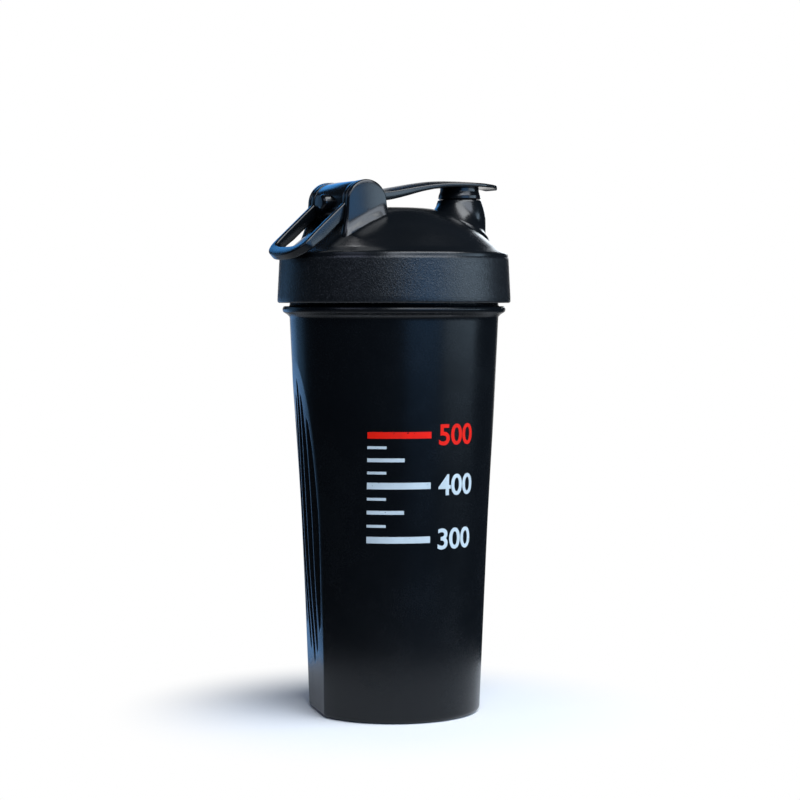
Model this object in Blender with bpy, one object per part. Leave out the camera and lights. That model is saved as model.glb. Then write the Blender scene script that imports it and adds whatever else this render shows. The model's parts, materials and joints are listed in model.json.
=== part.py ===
"""A shaker bottle: tapered cup with two ribbed thumb grips, screw lid with a domed top and a drinking
spout, flip cap and carry loop on one hinge, a seal ring under the lid and a wire whisk ball in the cup.

The model is in metres with +Z up. The origin is the centre of the cup's foot, and +X points from the
hinge to the spout. The driving dimensions below are in millimetres.
"""

import math

import bmesh
import bpy
from mathutils import Matrix, Vector

MM = 0.001

# Cup
FOOT_R = 36.5  # outer radius at the table
TAPER = 0.0463  # radius gained per millimetre of height
FOOT_ROUND = 2.2
WALL = 1.8
FLOOR = 2.4
FLOOR_ROUND = 2.4  # radius between floor and wall
CUP_TURN = -13.6  # degrees from +X to the middle of the first thumb grip
COLLAR_R = 47.3  # the bead under the lid
COLLAR_Z = 172.0
NECK_R = 44.2
MOUTH_R = 42.4
RIM_Z = 188.4

# Thumb grips: a leaf of flattened wall with five pointed flutes
GRIP_TOP = 149.0
GRIP_WIDE_Z = 82.0
GRIP_HALF = 17.6
GRIP_FOOT_HALF = 13.3
GRIP_BULGE = 2.6
GRIP_LEAST = 7.0  # half width of the columns that run on above the leaf
FLUTE_HALF = 2.0
FLUTE_DEEP = 1.35
FLUTE_STEP = 0.37  # share of the leaf's half width between neighbouring flutes
FLUTE_SPANS = {0: (22.0, 141.0), 1: (27.0, 135.0), 2: (37.0, 125.0)}

# Screw thread, shared by neck and lid
LEAD = 8.0
THREAD_CREST_R = 46.0
LID_THREAD_R = 44.9

# Lid
SKIRT_Z = 173.3
SKIRT_R = 49.4
SHOULDER_R = 48.5
SHOULDER_Z = 194.0
LID_BORE_R = 46.7
CEILING_Z = 191.7
DOME_WALL = 2.3  # measured upright
SPOUT_X = 32.2
SPOUT_TOP = 217.4
SPOUT_R = 9.3
SPOUT_BORE_R = 7.65
SPOUT_FLARE = 2.2  # most that the spout's foot spreads into the dome

# Hinge
HINGE_X = -22.5
HINGE_Z = 215.1
EAR_R = 9.2
EAR_IN = 16.0
EAR_OUT = 19.0
BARREL_R = 8.9
BARREL_HALF = 12.5
TRUNNION_R = 2.9
TRUNNION_HALF = 17.2
EYE_IN = 12.8
EYE_OUT = 15.6
KNOB_R = 3.3
KNOB_REACH = 12.1
KNOB_TURN = -88.0  # degrees about the hinge, from straight up towards the back
POCKET_R = 9.5  # the round pocket that the barrel turns in
GROOVE_R = 12.7  # the groove that the knob sweeps through
PIN_CLEARANCE = 0.3

# Flip cap
PLUG_R = 7.35
PLUG_Z = 212.6
TAB_X = 48.3
ARM_SIDE = 1.7  # walls beside and over the channel under the arm
ARM_TOP = 1.8

# Carry loop, resting at an angle on the lid's shoulder
LOOP_DROP = 42.0  # degrees below level
LOOP_LENGTH = 39.0
LOOP_STRAIGHT = 29.5  # from the hinge to where the arms turn in
BAND_END = LOOP_LENGTH - 2.7  # the band's middle line at the loop's end
BAND_LOW, BAND_HIGH = 0.8, 5.8
BAND_SWELL = 24.0  # the band grows broader from here on
BAND_SOFT = 0.7

# Whisk ball
BALL_R = 25.0
WIRE_R = 0.95
BALL_TURNS = 8
LOOP_POINTS = 24
BALL_TILT = 24.0


def clear_scene():
    for obj in list(bpy.data.objects):
        bpy.data.objects.remove(obj, do_unlink=True)


def material(name, colour, roughness, metallic=0.0):
    made = bpy.data.materials.new(name)
    made.use_nodes = True
    shader = made.node_tree.nodes["Principled BSDF"]
    shader.inputs["Base Color"].default_value = (*colour, 1.0)
    shader.inputs["Roughness"].default_value = roughness
    shader.inputs["Metallic"].default_value = metallic
    made.diffuse_color = (*colour, 1.0)
    return made


def add_mesh(name, points, faces, origin=(0.0, 0.0, 0.0), finish=None, sharp=35.0):
    """A closed mesh from points in millimetres, with its object's origin at the given place."""
    mesh = bpy.data.meshes.new(name)
    shift = Vector(origin)
    mesh.from_pydata([(Vector(p) - shift) * MM for p in points], [], faces)
    edit = bmesh.new()
    edit.from_mesh(mesh)
    bmesh.ops.recalc_face_normals(edit, faces=edit.faces)
    for face in edit.faces:
        face.smooth = True
    edit.to_mesh(mesh)
    edit.free()
    mesh.set_sharp_from_angle(angle=math.radians(sharp))
    obj = bpy.data.objects.new(name, mesh)
    obj.location = shift * MM
    bpy.context.scene.collection.objects.link(obj)
    if finish:
        mesh.materials.append(finish)
    return obj


def helper(obj):
    """A cutter, or a piece that a Boolean joins on: it is seen only as a wire."""
    obj.hide_render = True
    obj.display_type = "WIRE"
    return obj


def boolean(obj, other, operation):
    modifier = obj.modifiers.new(f"{operation.title()} {other.name}", "BOOLEAN")
    modifier.operation = operation
    modifier.solver = "EXACT"
    modifier.object = other


def cut(obj, *cutters):
    for cutter in cutters:
        boolean(obj, helper(cutter), "DIFFERENCE")


def join(obj, *others):
    for other in others:
        boolean(obj, helper(other), "UNION")


def stack_rings(rings):
    """Points and faces of a solid through rings of equal count. A ring of one point is a pole."""
    points, starts = [], []
    for ring in rings:
        starts.append(len(points))
        points.extend(ring)
    faces = []
    for a, b, low, high in zip(starts, starts[1:], rings, rings[1:], strict=False):
        count = max(len(low), len(high))
        for i in range(count):
            j = (i + 1) % count
            if len(low) == 1:
                faces.append((a, b + j, b + i))
            elif len(high) == 1:
                faces.append((a + i, a + j, b))
            else:
                faces.append((a + i, a + j, b + j, b + i))
    if len(rings[0]) > 1:
        faces.append(tuple(range(len(rings[0])))[::-1])
    if len(rings[-1]) > 1:
        faces.append(tuple(starts[-1] + i for i in range(len(rings[-1]))))
    return points, faces


def spin(name, profile, steps, place=(0.0, 0.0, 0.0), axis="Z", closed=False, **more):
    """A solid of revolution. The profile holds (radius, distance along the axis), from axis to axis,
    or with closed as a loop clear of the axis, which makes a ring."""
    profile = list(profile)
    if not closed:
        # A flat end is one face across the axis, so its point on the axis goes.
        profile = profile[profile[0][1] == profile[1][1] :]
        profile = profile[: len(profile) - (profile[-1][1] == profile[-2][1])]
    edit = bmesh.new()
    centre = Vector(place)
    points = [(r, 0, d) if axis == "Z" else (r, d, 0) for r, d in profile]
    verts = [edit.verts.new(centre + Vector(p)) for p in points]
    pairs = list(zip(verts, verts[1:], strict=False))
    if closed:
        pairs.append((verts[-1], verts[0]))
    edges = [edit.edges.new(pair) for pair in pairs]
    turn = Vector((0, 0, 1)) if axis == "Z" else Vector((0, 1, 0))
    bmesh.ops.spin(edit, geom=verts + edges, cent=centre, axis=turn, angle=math.tau,
                   steps=steps, use_merge=True)
    bmesh.ops.remove_doubles(edit, verts=edit.verts, dist=1e-4)
    bmesh.ops.holes_fill(edit, edges=[e for e in edit.edges if e.is_boundary], sides=0)
    edit.verts.index_update()
    faces = [[v.index for v in face.verts] for face in edit.faces]
    made = add_mesh(name, [tuple(v.co) for v in edit.verts], faces, **more)
    edit.free()
    return made


def bar(name, radius, half, steps, chamfer=0.0, middle=0.0, **more):
    """A round bar along Y about the hinge axis."""
    profile = [(0, -half), (radius - chamfer, -half), (radius, chamfer - half)]
    profile += [(radius, half - chamfer), (radius - chamfer, half), (0, half)]
    if not chamfer:
        profile = [(0, -half), (radius, -half), (radius, half), (0, half)]
    return spin(name, profile, steps, (HINGE_X, middle, HINGE_Z), "Y", **more)


def thread(name, wall_r, crest_r, z_start, turns, first, steps=40):
    """One helical ridge. It is rooted in the wall and fades out at both ends."""
    count = round(turns * steps)
    root_r = wall_r - math.copysign(0.9, crest_r - wall_r)
    rings = []
    for i in range(count + 1):
        angle = first + math.tau * i / steps
        z = z_start + LEAD * i / steps
        fade = min(1.0, i / 5, (count - i) / 5)
        crest = wall_r - math.copysign(0.3, crest_r - wall_r) * (1 - fade)
        crest += (crest_r - wall_r) * fade
        section = [(root_r, -1.5), (crest, -0.6), (crest, 0.6), (root_r, 1.5)]
        rings.append([(r * math.cos(angle), r * math.sin(angle), z + dz) for r, dz in section])
    return add_mesh(name, *stack_rings(rings))


# ---------------------------------------------------------------- cup


def body_radius(z):
    return FOOT_R + TAPER * z


def grip_half(z):
    """Half width of the flattened leaf at a height."""
    if z >= GRIP_TOP:
        return 0.0
    if z >= GRIP_WIDE_Z:
        share = (z - GRIP_WIDE_Z) / (GRIP_TOP - GRIP_WIDE_Z)
        return GRIP_HALF * (1 - share**2) ** (1 / 2.2)
    share = (GRIP_WIDE_Z - z) / GRIP_WIDE_Z
    return GRIP_HALF - (GRIP_HALF - GRIP_FOOT_HALF) * share**1.3


def swell(z, low, high, power):
    """0 outside a span of heights and 1 in its middle."""
    share = (z - low) / (high - low)
    return math.sin(math.pi * share) ** power if 0 < share < 1 else 0.0


def grip_depth(z, t, bulge=1.0):
    """How far the leaf lies inside the round wall, at a distance t from its middle line."""
    half = grip_half(z)
    if abs(t) >= half:
        return 0.0
    radius = body_radius(z)
    flat = math.sqrt(radius**2 - t**2) - math.sqrt(radius**2 - half**2)
    crown = bulge * GRIP_BULGE * swell(z, 20.0, GRIP_TOP, 1.3) * (1 - (t / half) ** 2)
    return max(0.0, flat - crown)


def flute(z, index):
    """(half width, depth) of one flute at a height."""
    low, high = FLUTE_SPANS[abs(index)]
    share = swell(z, low, high, 0.75)
    return max(0.3, FLUTE_HALF * share), FLUTE_DEEP * share


def grip_columns(z):
    """(t, extra depth) across one grip: the flutes' edges and floors, the ridges and the leaf's edge."""
    half = max(grip_half(z), GRIP_LEAST)
    columns = [(-half, 0.0), (-0.9 * half, 0.0)]
    for index in range(-2, 3):
        middle = FLUTE_STEP * index * half
        wide, deep = flute(z, index)
        wide = min(wide, 0.15 * half)
        columns += [
            (middle - wide, 0.0),
            (middle - 0.45 * wide, deep),
            (middle + 0.45 * wide, deep),
            (middle + wide, 0.0),
        ]
        if index < 2:
            columns.append((FLUTE_STEP * (index + 0.5) * half, 0.0))
    return columns + [(0.9 * half, 0.0), (half, 0.0)]


def cup_ring(z, columns, arc_steps, offset=0.0, bulge=1.0, inset=0.0):
    """One ring of the cup's wall: two grips, and a round arc after each."""
    radius = body_radius(z)
    ring = []
    for side in range(2):
        turn = math.radians(CUP_TURN + 180 * side)
        for t, extra in columns:
            out = math.sqrt(radius**2 - t**2) - grip_depth(z, t, bulge) - extra
            scale = (out - offset - inset) / out
            x, y = out * scale, t * scale
            across = x * math.cos(turn) - y * math.sin(turn)
            along = x * math.sin(turn) + y * math.cos(turn)
            ring.append((across, along, z))
        edge = math.asin(columns[-1][0] / radius)
        for i in range(1, arc_steps):
            angle = turn + edge + (math.pi - 2 * edge) * i / arc_steps
            round_r = radius - offset - inset
            ring.append((round_r * math.cos(angle), round_r * math.sin(angle), z))
    return ring


def foot_inset(z):
    rise = min(z, FOOT_ROUND)
    return FOOT_ROUND - math.sqrt(FOOT_ROUND**2 - (FOOT_ROUND - rise) ** 2)


def make_cup(finish):
    heights = [0, 0.4, 1.1, 2.2, 12, 22, 27, 32, 38, 46, 58, 72, 88, 104, 114]
    heights += [121, 126, 131, 136, 140, 144, 147, 149.5, 168.0]
    rings = [cup_ring(z, grip_columns(z), 15, inset=foot_inset(z)) for z in heights]
    cup = add_mesh("cup", *stack_rings(rings), finish=finish, sharp=28.0)

    collar = [(0, 163.0), (43.2, 163.0), (43.6, 166.2), (44.9, 168.3), (46.5, 169.4)]
    collar += [(COLLAR_R - 0.1, 170.2), (COLLAR_R, 170.8), (COLLAR_R - 0.2, 171.4)]
    collar += [(COLLAR_R - 0.9, COLLAR_Z), (NECK_R + 0.5, COLLAR_Z), (NECK_R, COLLAR_Z + 0.6)]
    collar += [(NECK_R, RIM_Z - 0.9), (NECK_R - 0.5, RIM_Z), (0, RIM_Z)]
    join(cup, spin("cup_collar", collar, 64, sharp=40.0))
    join(cup, thread("cup_thread", NECK_R, THREAD_CREST_R, 177.0, 1.1, math.radians(20)))

    inner = []
    for z in (FLOOR, FLOOR + 0.7, FLOOR + FLOOR_ROUND, 12, 30, 55, 82, 108, 125, 138, 146, 152, 166):
        half = max(grip_half(z), GRIP_LEAST)
        corner = max(0.0, FLOOR + FLOOR_ROUND - z)
        inset = FLOOR_ROUND - math.sqrt(FLOOR_ROUND**2 - corner**2)
        columns = [(half * s, 0.0) for s in (-1, -0.6, -0.2, 0.2, 0.6, 1)]
        inner.append(cup_ring(z, columns, 10, offset=WALL, bulge=0.45, inset=inset))
    for z in (167.5, RIM_Z - 0.6, RIM_Z + 3.0):
        wide = MOUTH_R + (1.2 if z > RIM_Z else 0.0)
        aims = [math.atan2(y, x) for x, y, _ in inner[0]]
        inner.append([(wide * math.cos(a), wide * math.sin(a), z) for a in aims])
    cut(cup, add_mesh("cup_hollow", *stack_rings(inner)))

    recess = [(12.0, -1.0), (28.5, -1.0), (28.5, 0.0), (27.7, 0.9), (12.8, 0.9), (12.0, 0.0)]
    cut(cup, spin("cup_foot_recess", recess, 48, closed=True))
    return cup


# ---------------------------------------------------------------- lid


def dome_profile(drop=0.0):
    """(radius, height) from the rim of the dome up to its middle."""
    line = [(47.0, 194.75), (45.6, 195.45), (44.2, 196.3), (42.6, 197.55), (40.4, 199.35)]
    line += [(37.0, 202.1), (32.0, 205.7), (27.0, 208.75), (22.0, 211.3), (18.6, 212.5)]
    line += [(15.0, 213.15), (10.0, 213.5), (0.0, 213.6)]
    return [(r, z - drop) for r, z in line]


def dome_height(radius):
    line = dome_profile()[::-1]
    for (r0, z0), (r1, z1) in zip(line, line[1:], strict=False):
        if radius <= r1:
            return z0 + (z1 - z0) * (radius - r0) / (r1 - r0)
    return line[-1][1]


def spout_column(angle):
    """(radius, height) up the spout's side at one angle, flared where it grows out of the dome."""
    reach = SPOUT_R + 2.0
    foot = dome_height(math.hypot(SPOUT_X + reach * math.cos(angle), reach * math.sin(angle)))
    column = []
    for share in (-0.25, 0.0, 0.12, 0.28, 0.5, 0.72, 0.9, 1.0):
        z = foot + share * (SPOUT_TOP - foot)
        belly = math.sin(math.pi / 2 * min(1.0, (SPOUT_TOP - z) / 9.0)) * 2.0
        flare = 1.9 * max(0.0, 1 - (z - foot) / 4.0) ** 3
        edge = 0.35 if share == 1.0 else 0.0
        column.append((SPOUT_R + belly + min(flare, SPOUT_FLARE) - edge, z))
    return column


def spout_post():
    angles = [math.tau * i / 40 for i in range(40)]
    columns = [spout_column(a) for a in angles]
    rings = [
        [
            (SPOUT_X + column[k][0] * math.cos(a), column[k][0] * math.sin(a), column[k][1])
            for a, column in zip(angles, columns, strict=True)
        ]
        for k in range(len(columns[0]))
    ]
    return add_mesh("spout_post", *stack_rings(rings))


def ear(side, name):
    """One hinge ear: an upright D whose outer face leans out and has a soft edge."""
    layers = [(EAR_IN, 0.0), (EAR_OUT - 1.3, 0.0), (EAR_OUT - 0.5, 0.3)]
    layers += [(EAR_OUT - 0.1, 0.85), (EAR_OUT, 1.5)]
    sides = [(209.0, 0.5), (204.0, 1.2), (200.0, 1.9), (196.5, 2.6)]
    rings = []
    for y, inset in layers:
        radius = EAR_R - inset
        ring = []
        for i in range(17):
            angle = math.pi * i / 16
            ring.append((HINGE_X + radius * math.cos(angle), HINGE_Z + radius * math.sin(angle)))
        ring += [(HINGE_X - radius - spread, z) for z, spread in sides]
        ring += [(HINGE_X + radius + spread, z) for z, spread in reversed(sides)]
        lean = (y - EAR_IN) / (EAR_OUT - EAR_IN)
        rings.append(
            [(x, side * (y + lean * 0.06 * max(0.0, HINGE_Z - z)), z) for x, z in ring]
        )
    return add_mesh(name, *stack_rings(rings), sharp=50.0)


def make_lid(finish):
    outside = [(0, SKIRT_Z), (SKIRT_R - 0.7, SKIRT_Z), (SKIRT_R - 0.15, SKIRT_Z + 0.5)]
    outside += [(SKIRT_R, SKIRT_Z + 1.5), (SKIRT_R - 0.15, 178.0), (SHOULDER_R + 0.1, 191.8)]
    outside += [(SHOULDER_R - 0.15, 193.0), (SHOULDER_R - 0.6, SHOULDER_Z)] + dome_profile()
    lid = spin("screw_lid", outside, 72, origin=(0, 0, SKIRT_Z), finish=finish)

    join(lid, spout_post())
    join(lid, ear(-1, "ear_near"), ear(1, "ear_far"))
    cut(lid, bar("barrel_pocket", POCKET_R, EAR_IN - 0.1, 40), bar("knob_groove", GROOVE_R, 3.9, 32))
    socket_r, socket_half = TRUNNION_R + PIN_CLEARANCE, TRUNNION_HALF + PIN_CLEARANCE
    cut(lid, bar("trunnion_sockets", socket_r, socket_half, 20))

    hollow = [(0, SKIRT_Z - 2), (LID_BORE_R + 0.9, SKIRT_Z - 2), (LID_BORE_R + 0.9, SKIRT_Z + 0.6)]
    hollow += [(LID_BORE_R, 174.8), (LID_BORE_R, CEILING_Z), (42.0, CEILING_Z), (41.9, 184.2)]
    hollow += [(41.4, 183.4), (40.5, 183.4), (40.1, 184.2), (39.9, 197.2)]
    hollow += [(r, z) for r, z in dome_profile(DOME_WALL) if r < 39.0]
    inside = spin("lid_hollow", hollow, 50)
    # The pocket and the groove each have a wall of their own under them.
    cut(inside, bar("pocket_wall", POCKET_R + 2.0, EAR_IN + 1.9, 32))
    cut(inside, bar("groove_wall", GROOVE_R + 1.9, 5.8, 32))
    bore = [(0, 190.0), (SPOUT_BORE_R, 190.0), (SPOUT_BORE_R, 220.0), (0, 220.0)]
    join(inside, spin("spout_bore", bore, 36, (SPOUT_X, 0, 0)))
    cut(inside, thread("lid_thread", LID_BORE_R, LID_THREAD_R, 175.9, 1.15, math.radians(60)))
    cut(lid, inside)
    return lid


def make_seal(finish):
    """The seal ring between the cup's rim and the lid's ceiling, with a lip that bears on the rim."""
    profile = [(42.4, 189.3), (42.9, 188.8), (43.6, 188.75), (44.2, 189.2), (45.6, 189.4)]
    profile += [(45.9, 189.8), (45.9, 190.9), (45.5, 191.3), (42.8, 191.3), (42.4, 190.9)]
    return spin("lid_seal", profile, 48, closed=True, origin=(0, 0, 190.0), finish=finish)


# ---------------------------------------------------------------- flip cap

# Place along X, half width, height of the crown, of the edge and of the skirt under it
ARM = (
    (-20.0, 12.2, 221.9, 220.9, 215.4),
    (-14.0, 12.1, 221.0, 220.0, 215.8),
    (-8.0, 11.7, 221.2, 220.2, 216.4),
    (0.0, 11.0, 222.5, 221.5, 218.2),
    (8.0, 10.7, 223.9, 222.9, 220.3),
    (16.0, 10.8, 225.0, 224.0, 221.8),
    (24.0, 11.1, 225.4, 224.6, 222.6),
    (32.0, 11.2, 225.3, 224.7, 222.9),
    (38.0, 10.6, 225.0, 224.6, 222.9),
    (42.0, 9.2, 224.7, 224.4, 222.8),
    (45.0, 7.9, 224.4, 224.2, 222.7),
    (47.0, 6.6, 224.2, 224.0, 222.4),
    (48.0, 5.2, 223.8, 223.6, 222.0),
    (TAB_X, 4.4, 223.4, 223.2, 221.9),
)


def arm_ring(x, half, crown, edge, low):
    """One section of the arm: flat below, with upright sides and a crowned top."""
    ring = [(x, -half, low), (x, -half, edge - 0.5)]
    for s in (-0.93, -0.6, -0.3, 0.0, 0.3, 0.6, 0.93):
        ring.append((x, s * half, crown - (crown - edge) * s * s))
    return ring + [(x, half, edge - 0.5), (x, half, low)]


def make_flip_cap(finish):
    hinge = (HINGE_X, 0, HINGE_Z)
    cap = bar("flip_cap", BARREL_R, BARREL_HALF, 36, chamfer=0.5, origin=hinge, finish=finish)
    join(cap, bar("cap_trunnions", TRUNNION_R, TRUNNION_HALF, 18, chamfer=0.4))

    arm = add_mesh("cap_arm", *stack_rings([arm_ring(*station) for station in ARM]), sharp=50.0)
    channel = [
        arm_ring(x, half - ARM_SIDE, crown - ARM_TOP, edge - ARM_TOP, low - 4.0)
        for x, half, crown, edge, low in ARM[2:6]
    ]
    cut(arm, add_mesh("arm_channel", *stack_rings(channel)))
    join(cap, arm)

    knob = [(0.0, 5.0), (KNOB_R, 5.0), (KNOB_R, 9.4), (3.1, 10.6), (2.4, 11.5), (1.3, 12.0)]
    button = spin("cap_knob", [*knob, (0.0, KNOB_REACH)], 18)
    back = Matrix.Rotation(math.radians(KNOB_TURN), 4, "Y")
    button.matrix_world = Matrix.Translation(Vector(hinge) * MM) @ back
    join(cap, button)

    plug = [(0, 218.6), (5.7, 218.6), (5.7, PLUG_Z + 0.5), (6.0, PLUG_Z), (6.7, PLUG_Z)]
    plug += [(PLUG_R - 0.05, PLUG_Z + 1.0), (PLUG_R, 214.4), (PLUG_R - 0.25, 215.2)]
    plug += [(PLUG_R - 0.25, SPOUT_TOP + 0.3), (8.7, SPOUT_TOP + 0.3), (9.1, SPOUT_TOP + 0.8)]
    plug += [(9.0, 219.4), (8.4, 221.0), (8.2, 223.4), (0, 223.4)]
    join(cap, spin("cap_plug", plug, 36, (SPOUT_X, 0, 0)))
    return cap


# ---------------------------------------------------------------- carry loop


def loop_place(along, y, high):
    """A place on the loop's slope: down along it, across it, and up from it."""
    drop = math.radians(LOOP_DROP)
    return (
        HINGE_X - along * math.cos(drop) - high * math.sin(drop),
        y,
        HINGE_Z - along * math.sin(drop) + high * math.cos(drop),
    )


def loop_path():
    """(along, y) down one arm of the loop, round its end and up the other arm."""
    middle = (EYE_IN + EYE_OUT) / 2
    half = [(s, -middle) for s in (3.0, 12.0, 20.0, 25.5)]
    for i in range(9):
        angle = math.pi / 2 * i / 8
        # A squarish quarter curve: broad shoulders and a gently bowed end.
        across, ahead = math.cos(angle) ** 0.72, math.sin(angle) ** 0.86
        half.append((LOOP_STRAIGHT + (BAND_END - LOOP_STRAIGHT) * ahead, -middle * across))
    return half + [(a, -y) for a, y in reversed(half[:-1])]


def make_loop(finish):
    path = loop_path()
    rings = []
    for i, (along, y) in enumerate(path):
        a0, y0 = path[max(i - 1, 0)]
        a1, y1 = path[min(i + 1, len(path) - 1)]
        length = math.hypot(a1 - a0, y1 - y0)
        side = ((y1 - y0) / length, -(a1 - a0) / length)
        tip = max(0.0, (along - BAND_SWELL) / (BAND_END - BAND_SWELL))
        thick = (EYE_OUT - EYE_IN) / 2 + 1.15 * tip**2
        low, high = BAND_LOW + 1.3 * tip, BAND_HIGH - 0.2 * tip
        flat = thick - BAND_SOFT
        section = [(-thick, low + BAND_SOFT), (-thick, high - BAND_SOFT), (-flat, high), (flat, high)]
        section += [(thick, high - BAND_SOFT), (thick, low + BAND_SOFT), (flat, low), (-flat, low)]
        rings.append([loop_place(along + s * side[0], y + s * side[1], h) for s, h in section])
    hinge = (HINGE_X, 0, HINGE_Z)
    loop = add_mesh("carry_loop", *stack_rings(rings), origin=hinge, finish=finish, sharp=40.0)
    half = (EYE_OUT - EYE_IN) / 2
    for side, name in ((-1, "eye_near"), (1, "eye_far")):
        join(loop, bar(name, EAR_R - 0.1, half, 36, chamfer=0.4, middle=side * (EYE_IN + half)))
    cut(loop, bar("eye_bores", TRUNNION_R + PIN_CLEARANCE, 20.0, 20))
    return loop


# ---------------------------------------------------------------- whisk ball


def make_whisk(finish):
    """One unbroken wire wound pole to pole over a ball, its ends turned in towards the poles."""
    count = BALL_TURNS * LOOP_POINTS
    tilt = Matrix.Rotation(math.radians(BALL_TILT), 3, "X")
    path = []
    for i in range(count + 1):
        share = i / count
        rise = math.radians(-77 + 154 * share)
        turn = math.tau * BALL_TURNS * share
        level = math.cos(rise)
        aim = Vector((level * math.cos(turn), level * math.sin(turn), math.sin(rise)))
        path.append(tilt @ aim * (BALL_R - WIRE_R))
    gap = min(
        (path[i] - path[j]).length
        for i in range(len(path))
        for j in range(i + LOOP_POINTS // 2, len(path))
    )
    print(f"whisk ball: least gap of the wire to itself {gap - 2 * WIRE_R:.2f} mm")

    curve = bpy.data.curves.new("whisk_ball", "CURVE")
    curve.dimensions = "3D"
    curve.bevel_depth = WIRE_R * MM
    curve.bevel_resolution = 1
    curve.use_fill_caps = True
    spline = curve.splines.new("POLY")
    spline.points.add(len(path) - 1)
    for point, place in zip(spline.points, path, strict=True):
        point.co = (*(place * MM), 1.0)
    curve.materials.append(finish)
    ball = bpy.data.objects.new("whisk_ball", curve)
    ball.location = (0.0, 0.0, (FLOOR + 0.35 + BALL_R) * MM)
    bpy.context.scene.collection.objects.link(ball)
    return ball


def main():
    clear_scene()
    make_cup(material("cup_black_satin", (0.012, 0.013, 0.016), 0.42))
    make_lid(material("lid_black_satin", (0.014, 0.015, 0.018), 0.36))
    make_seal(material("seal_silicone", (0.45, 0.46, 0.47), 0.6))
    make_flip_cap(material("cap_black_gloss", (0.012, 0.013, 0.016), 0.28))
    make_loop(material("loop_black_gloss", (0.012, 0.013, 0.016), 0.3))
    make_whisk(material("whisk_steel", (0.75, 0.76, 0.78), 0.2, metallic=1.0))


main()
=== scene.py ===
"""The looks of the shaker bottle, made around its packed frame.

Shapes are worked out in millimetres and put into the scene in metres, in the frame's own axes: +Z is up,
+X points from the hinge to the drinking spout, and the origin is the centre of the cup's foot.
"""

import json
from functools import partial
from math import asin, atan2, cos, hypot, pi, radians, sin, sqrt, tan, tau
from types import SimpleNamespace

import bmesh
import bpy
import numpy as np
from mathutils import Matrix, Vector


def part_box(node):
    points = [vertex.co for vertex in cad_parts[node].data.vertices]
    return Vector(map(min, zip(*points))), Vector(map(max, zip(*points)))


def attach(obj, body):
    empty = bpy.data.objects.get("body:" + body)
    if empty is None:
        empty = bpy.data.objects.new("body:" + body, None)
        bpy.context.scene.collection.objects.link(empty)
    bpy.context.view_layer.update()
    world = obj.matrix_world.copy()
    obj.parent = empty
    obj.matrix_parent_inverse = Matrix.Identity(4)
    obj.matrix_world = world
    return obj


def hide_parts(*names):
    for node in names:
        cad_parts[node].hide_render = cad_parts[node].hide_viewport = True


bl_info = {
    "name": "Shaker bottle looks",
    "version": (1, 0, 0),
    "blender": (4, 5, 0),
    "location": "3D View > Sidebar > Shaker",
    "description": "Makes a shaker bottle's finished pieces, its plastics, its printed scale and its stage",
    "category": "Object",
}

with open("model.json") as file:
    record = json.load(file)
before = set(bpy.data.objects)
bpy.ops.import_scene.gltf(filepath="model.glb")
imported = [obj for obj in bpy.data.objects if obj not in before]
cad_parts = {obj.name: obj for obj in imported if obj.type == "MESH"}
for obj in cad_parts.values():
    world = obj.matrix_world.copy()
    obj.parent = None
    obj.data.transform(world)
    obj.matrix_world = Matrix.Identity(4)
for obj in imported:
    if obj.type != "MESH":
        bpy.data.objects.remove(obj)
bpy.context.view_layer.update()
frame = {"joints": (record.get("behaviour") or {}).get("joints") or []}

MM = 0.001
CUP_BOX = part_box("cup")
LID_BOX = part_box("screw_lid")
CAP_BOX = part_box("flip_cap")
SEAL_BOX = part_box("lid_seal")
JOINTS = {joint["name"]: joint for joint in frame["joints"]}
HINGE = Vector(JOINTS["cap_hinge"]["pos_m"]) / MM
LEAD = JOINTS["lid_rise"]["range_m"][1] / MM / (JOINTS["lid_turn"]["range_deg"][1] / 360.0)


# ---------------------------------------------------------------- settings


def length(label, about, default):
    """A length in metres, for a settings group."""
    return bpy.props.FloatProperty(name=label, description=about, default=default, unit="LENGTH", precision=5)


def angle(label, about, default):
    """An angle that is given here in degrees, for a settings group."""
    turn = radians(default)
    return bpy.props.FloatProperty(name=label, description=about, default=turn, unit="ROTATION")


def share(label, about, default, low=0.0, high=1.0):
    return bpy.props.FloatProperty(name=label, description=about, default=default, min=low, max=high)


def colour(label, about, default):
    return bpy.props.FloatVectorProperty(name=label, description=about, default=default, subtype="COLOR",
                                         size=3, min=0.0, max=1.0)


class ShakerCup(bpy.types.PropertyGroup):
    """The cup, its thumb grips and its neck."""

    foot_radius: length("Foot radius", "Outer radius of the round wall at the table", 0.0365)
    taper: share("Taper", "Radius gained for each unit of height", 0.0463)
    foot_round: length("Foot rounding", "Radius of the edge round the foot", 0.0022)
    wall: length("Wall", "Thickness of the cup's wall", 0.0018)
    floor: length("Floor", "Thickness of the cup's floor", 0.0024)
    turn: angle("Grip turn", "From the spout's side to the middle of the first thumb grip", -13.6)
    bead_radius: length("Bead radius", "Outer radius of the bead under the lid", CUP_BOX[1].x)
    bead_height: length("Bead height", "Height of the bead's upper face", 0.172)
    neck_radius: length("Neck radius", "Outer radius of the neck inside the lid", 0.0442)
    mouth_radius: length("Mouth radius", "Inner radius of the mouth", 0.0424)
    rim: length("Rim", "Height of the rim", CUP_BOX[1].z)
    grip_top: length("Grip top", "Height of the grip's pointed top", 0.149)
    grip_widest: length("Grip's widest height", "Height at which the grip is widest", 0.082)
    grip_half: length("Grip half width", "Half of the grip's greatest width", 0.0176)
    grip_foot_half: length("Grip half width at the foot", "Half of the grip's width at the foot", 0.0133)
    grip_bulge: length("Grip crown", "How far the middle of the grip stands out of its flat", 0.0026)
    flute_half: length("Flute half width", "Half of the width of one flute", 0.0030)
    flute_deep: length("Flute depth", "Greatest depth of one flute", 0.0015)
    flute_step: share("Flute step", "Space between flutes, as a share of the grip's half width", 0.37)


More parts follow.
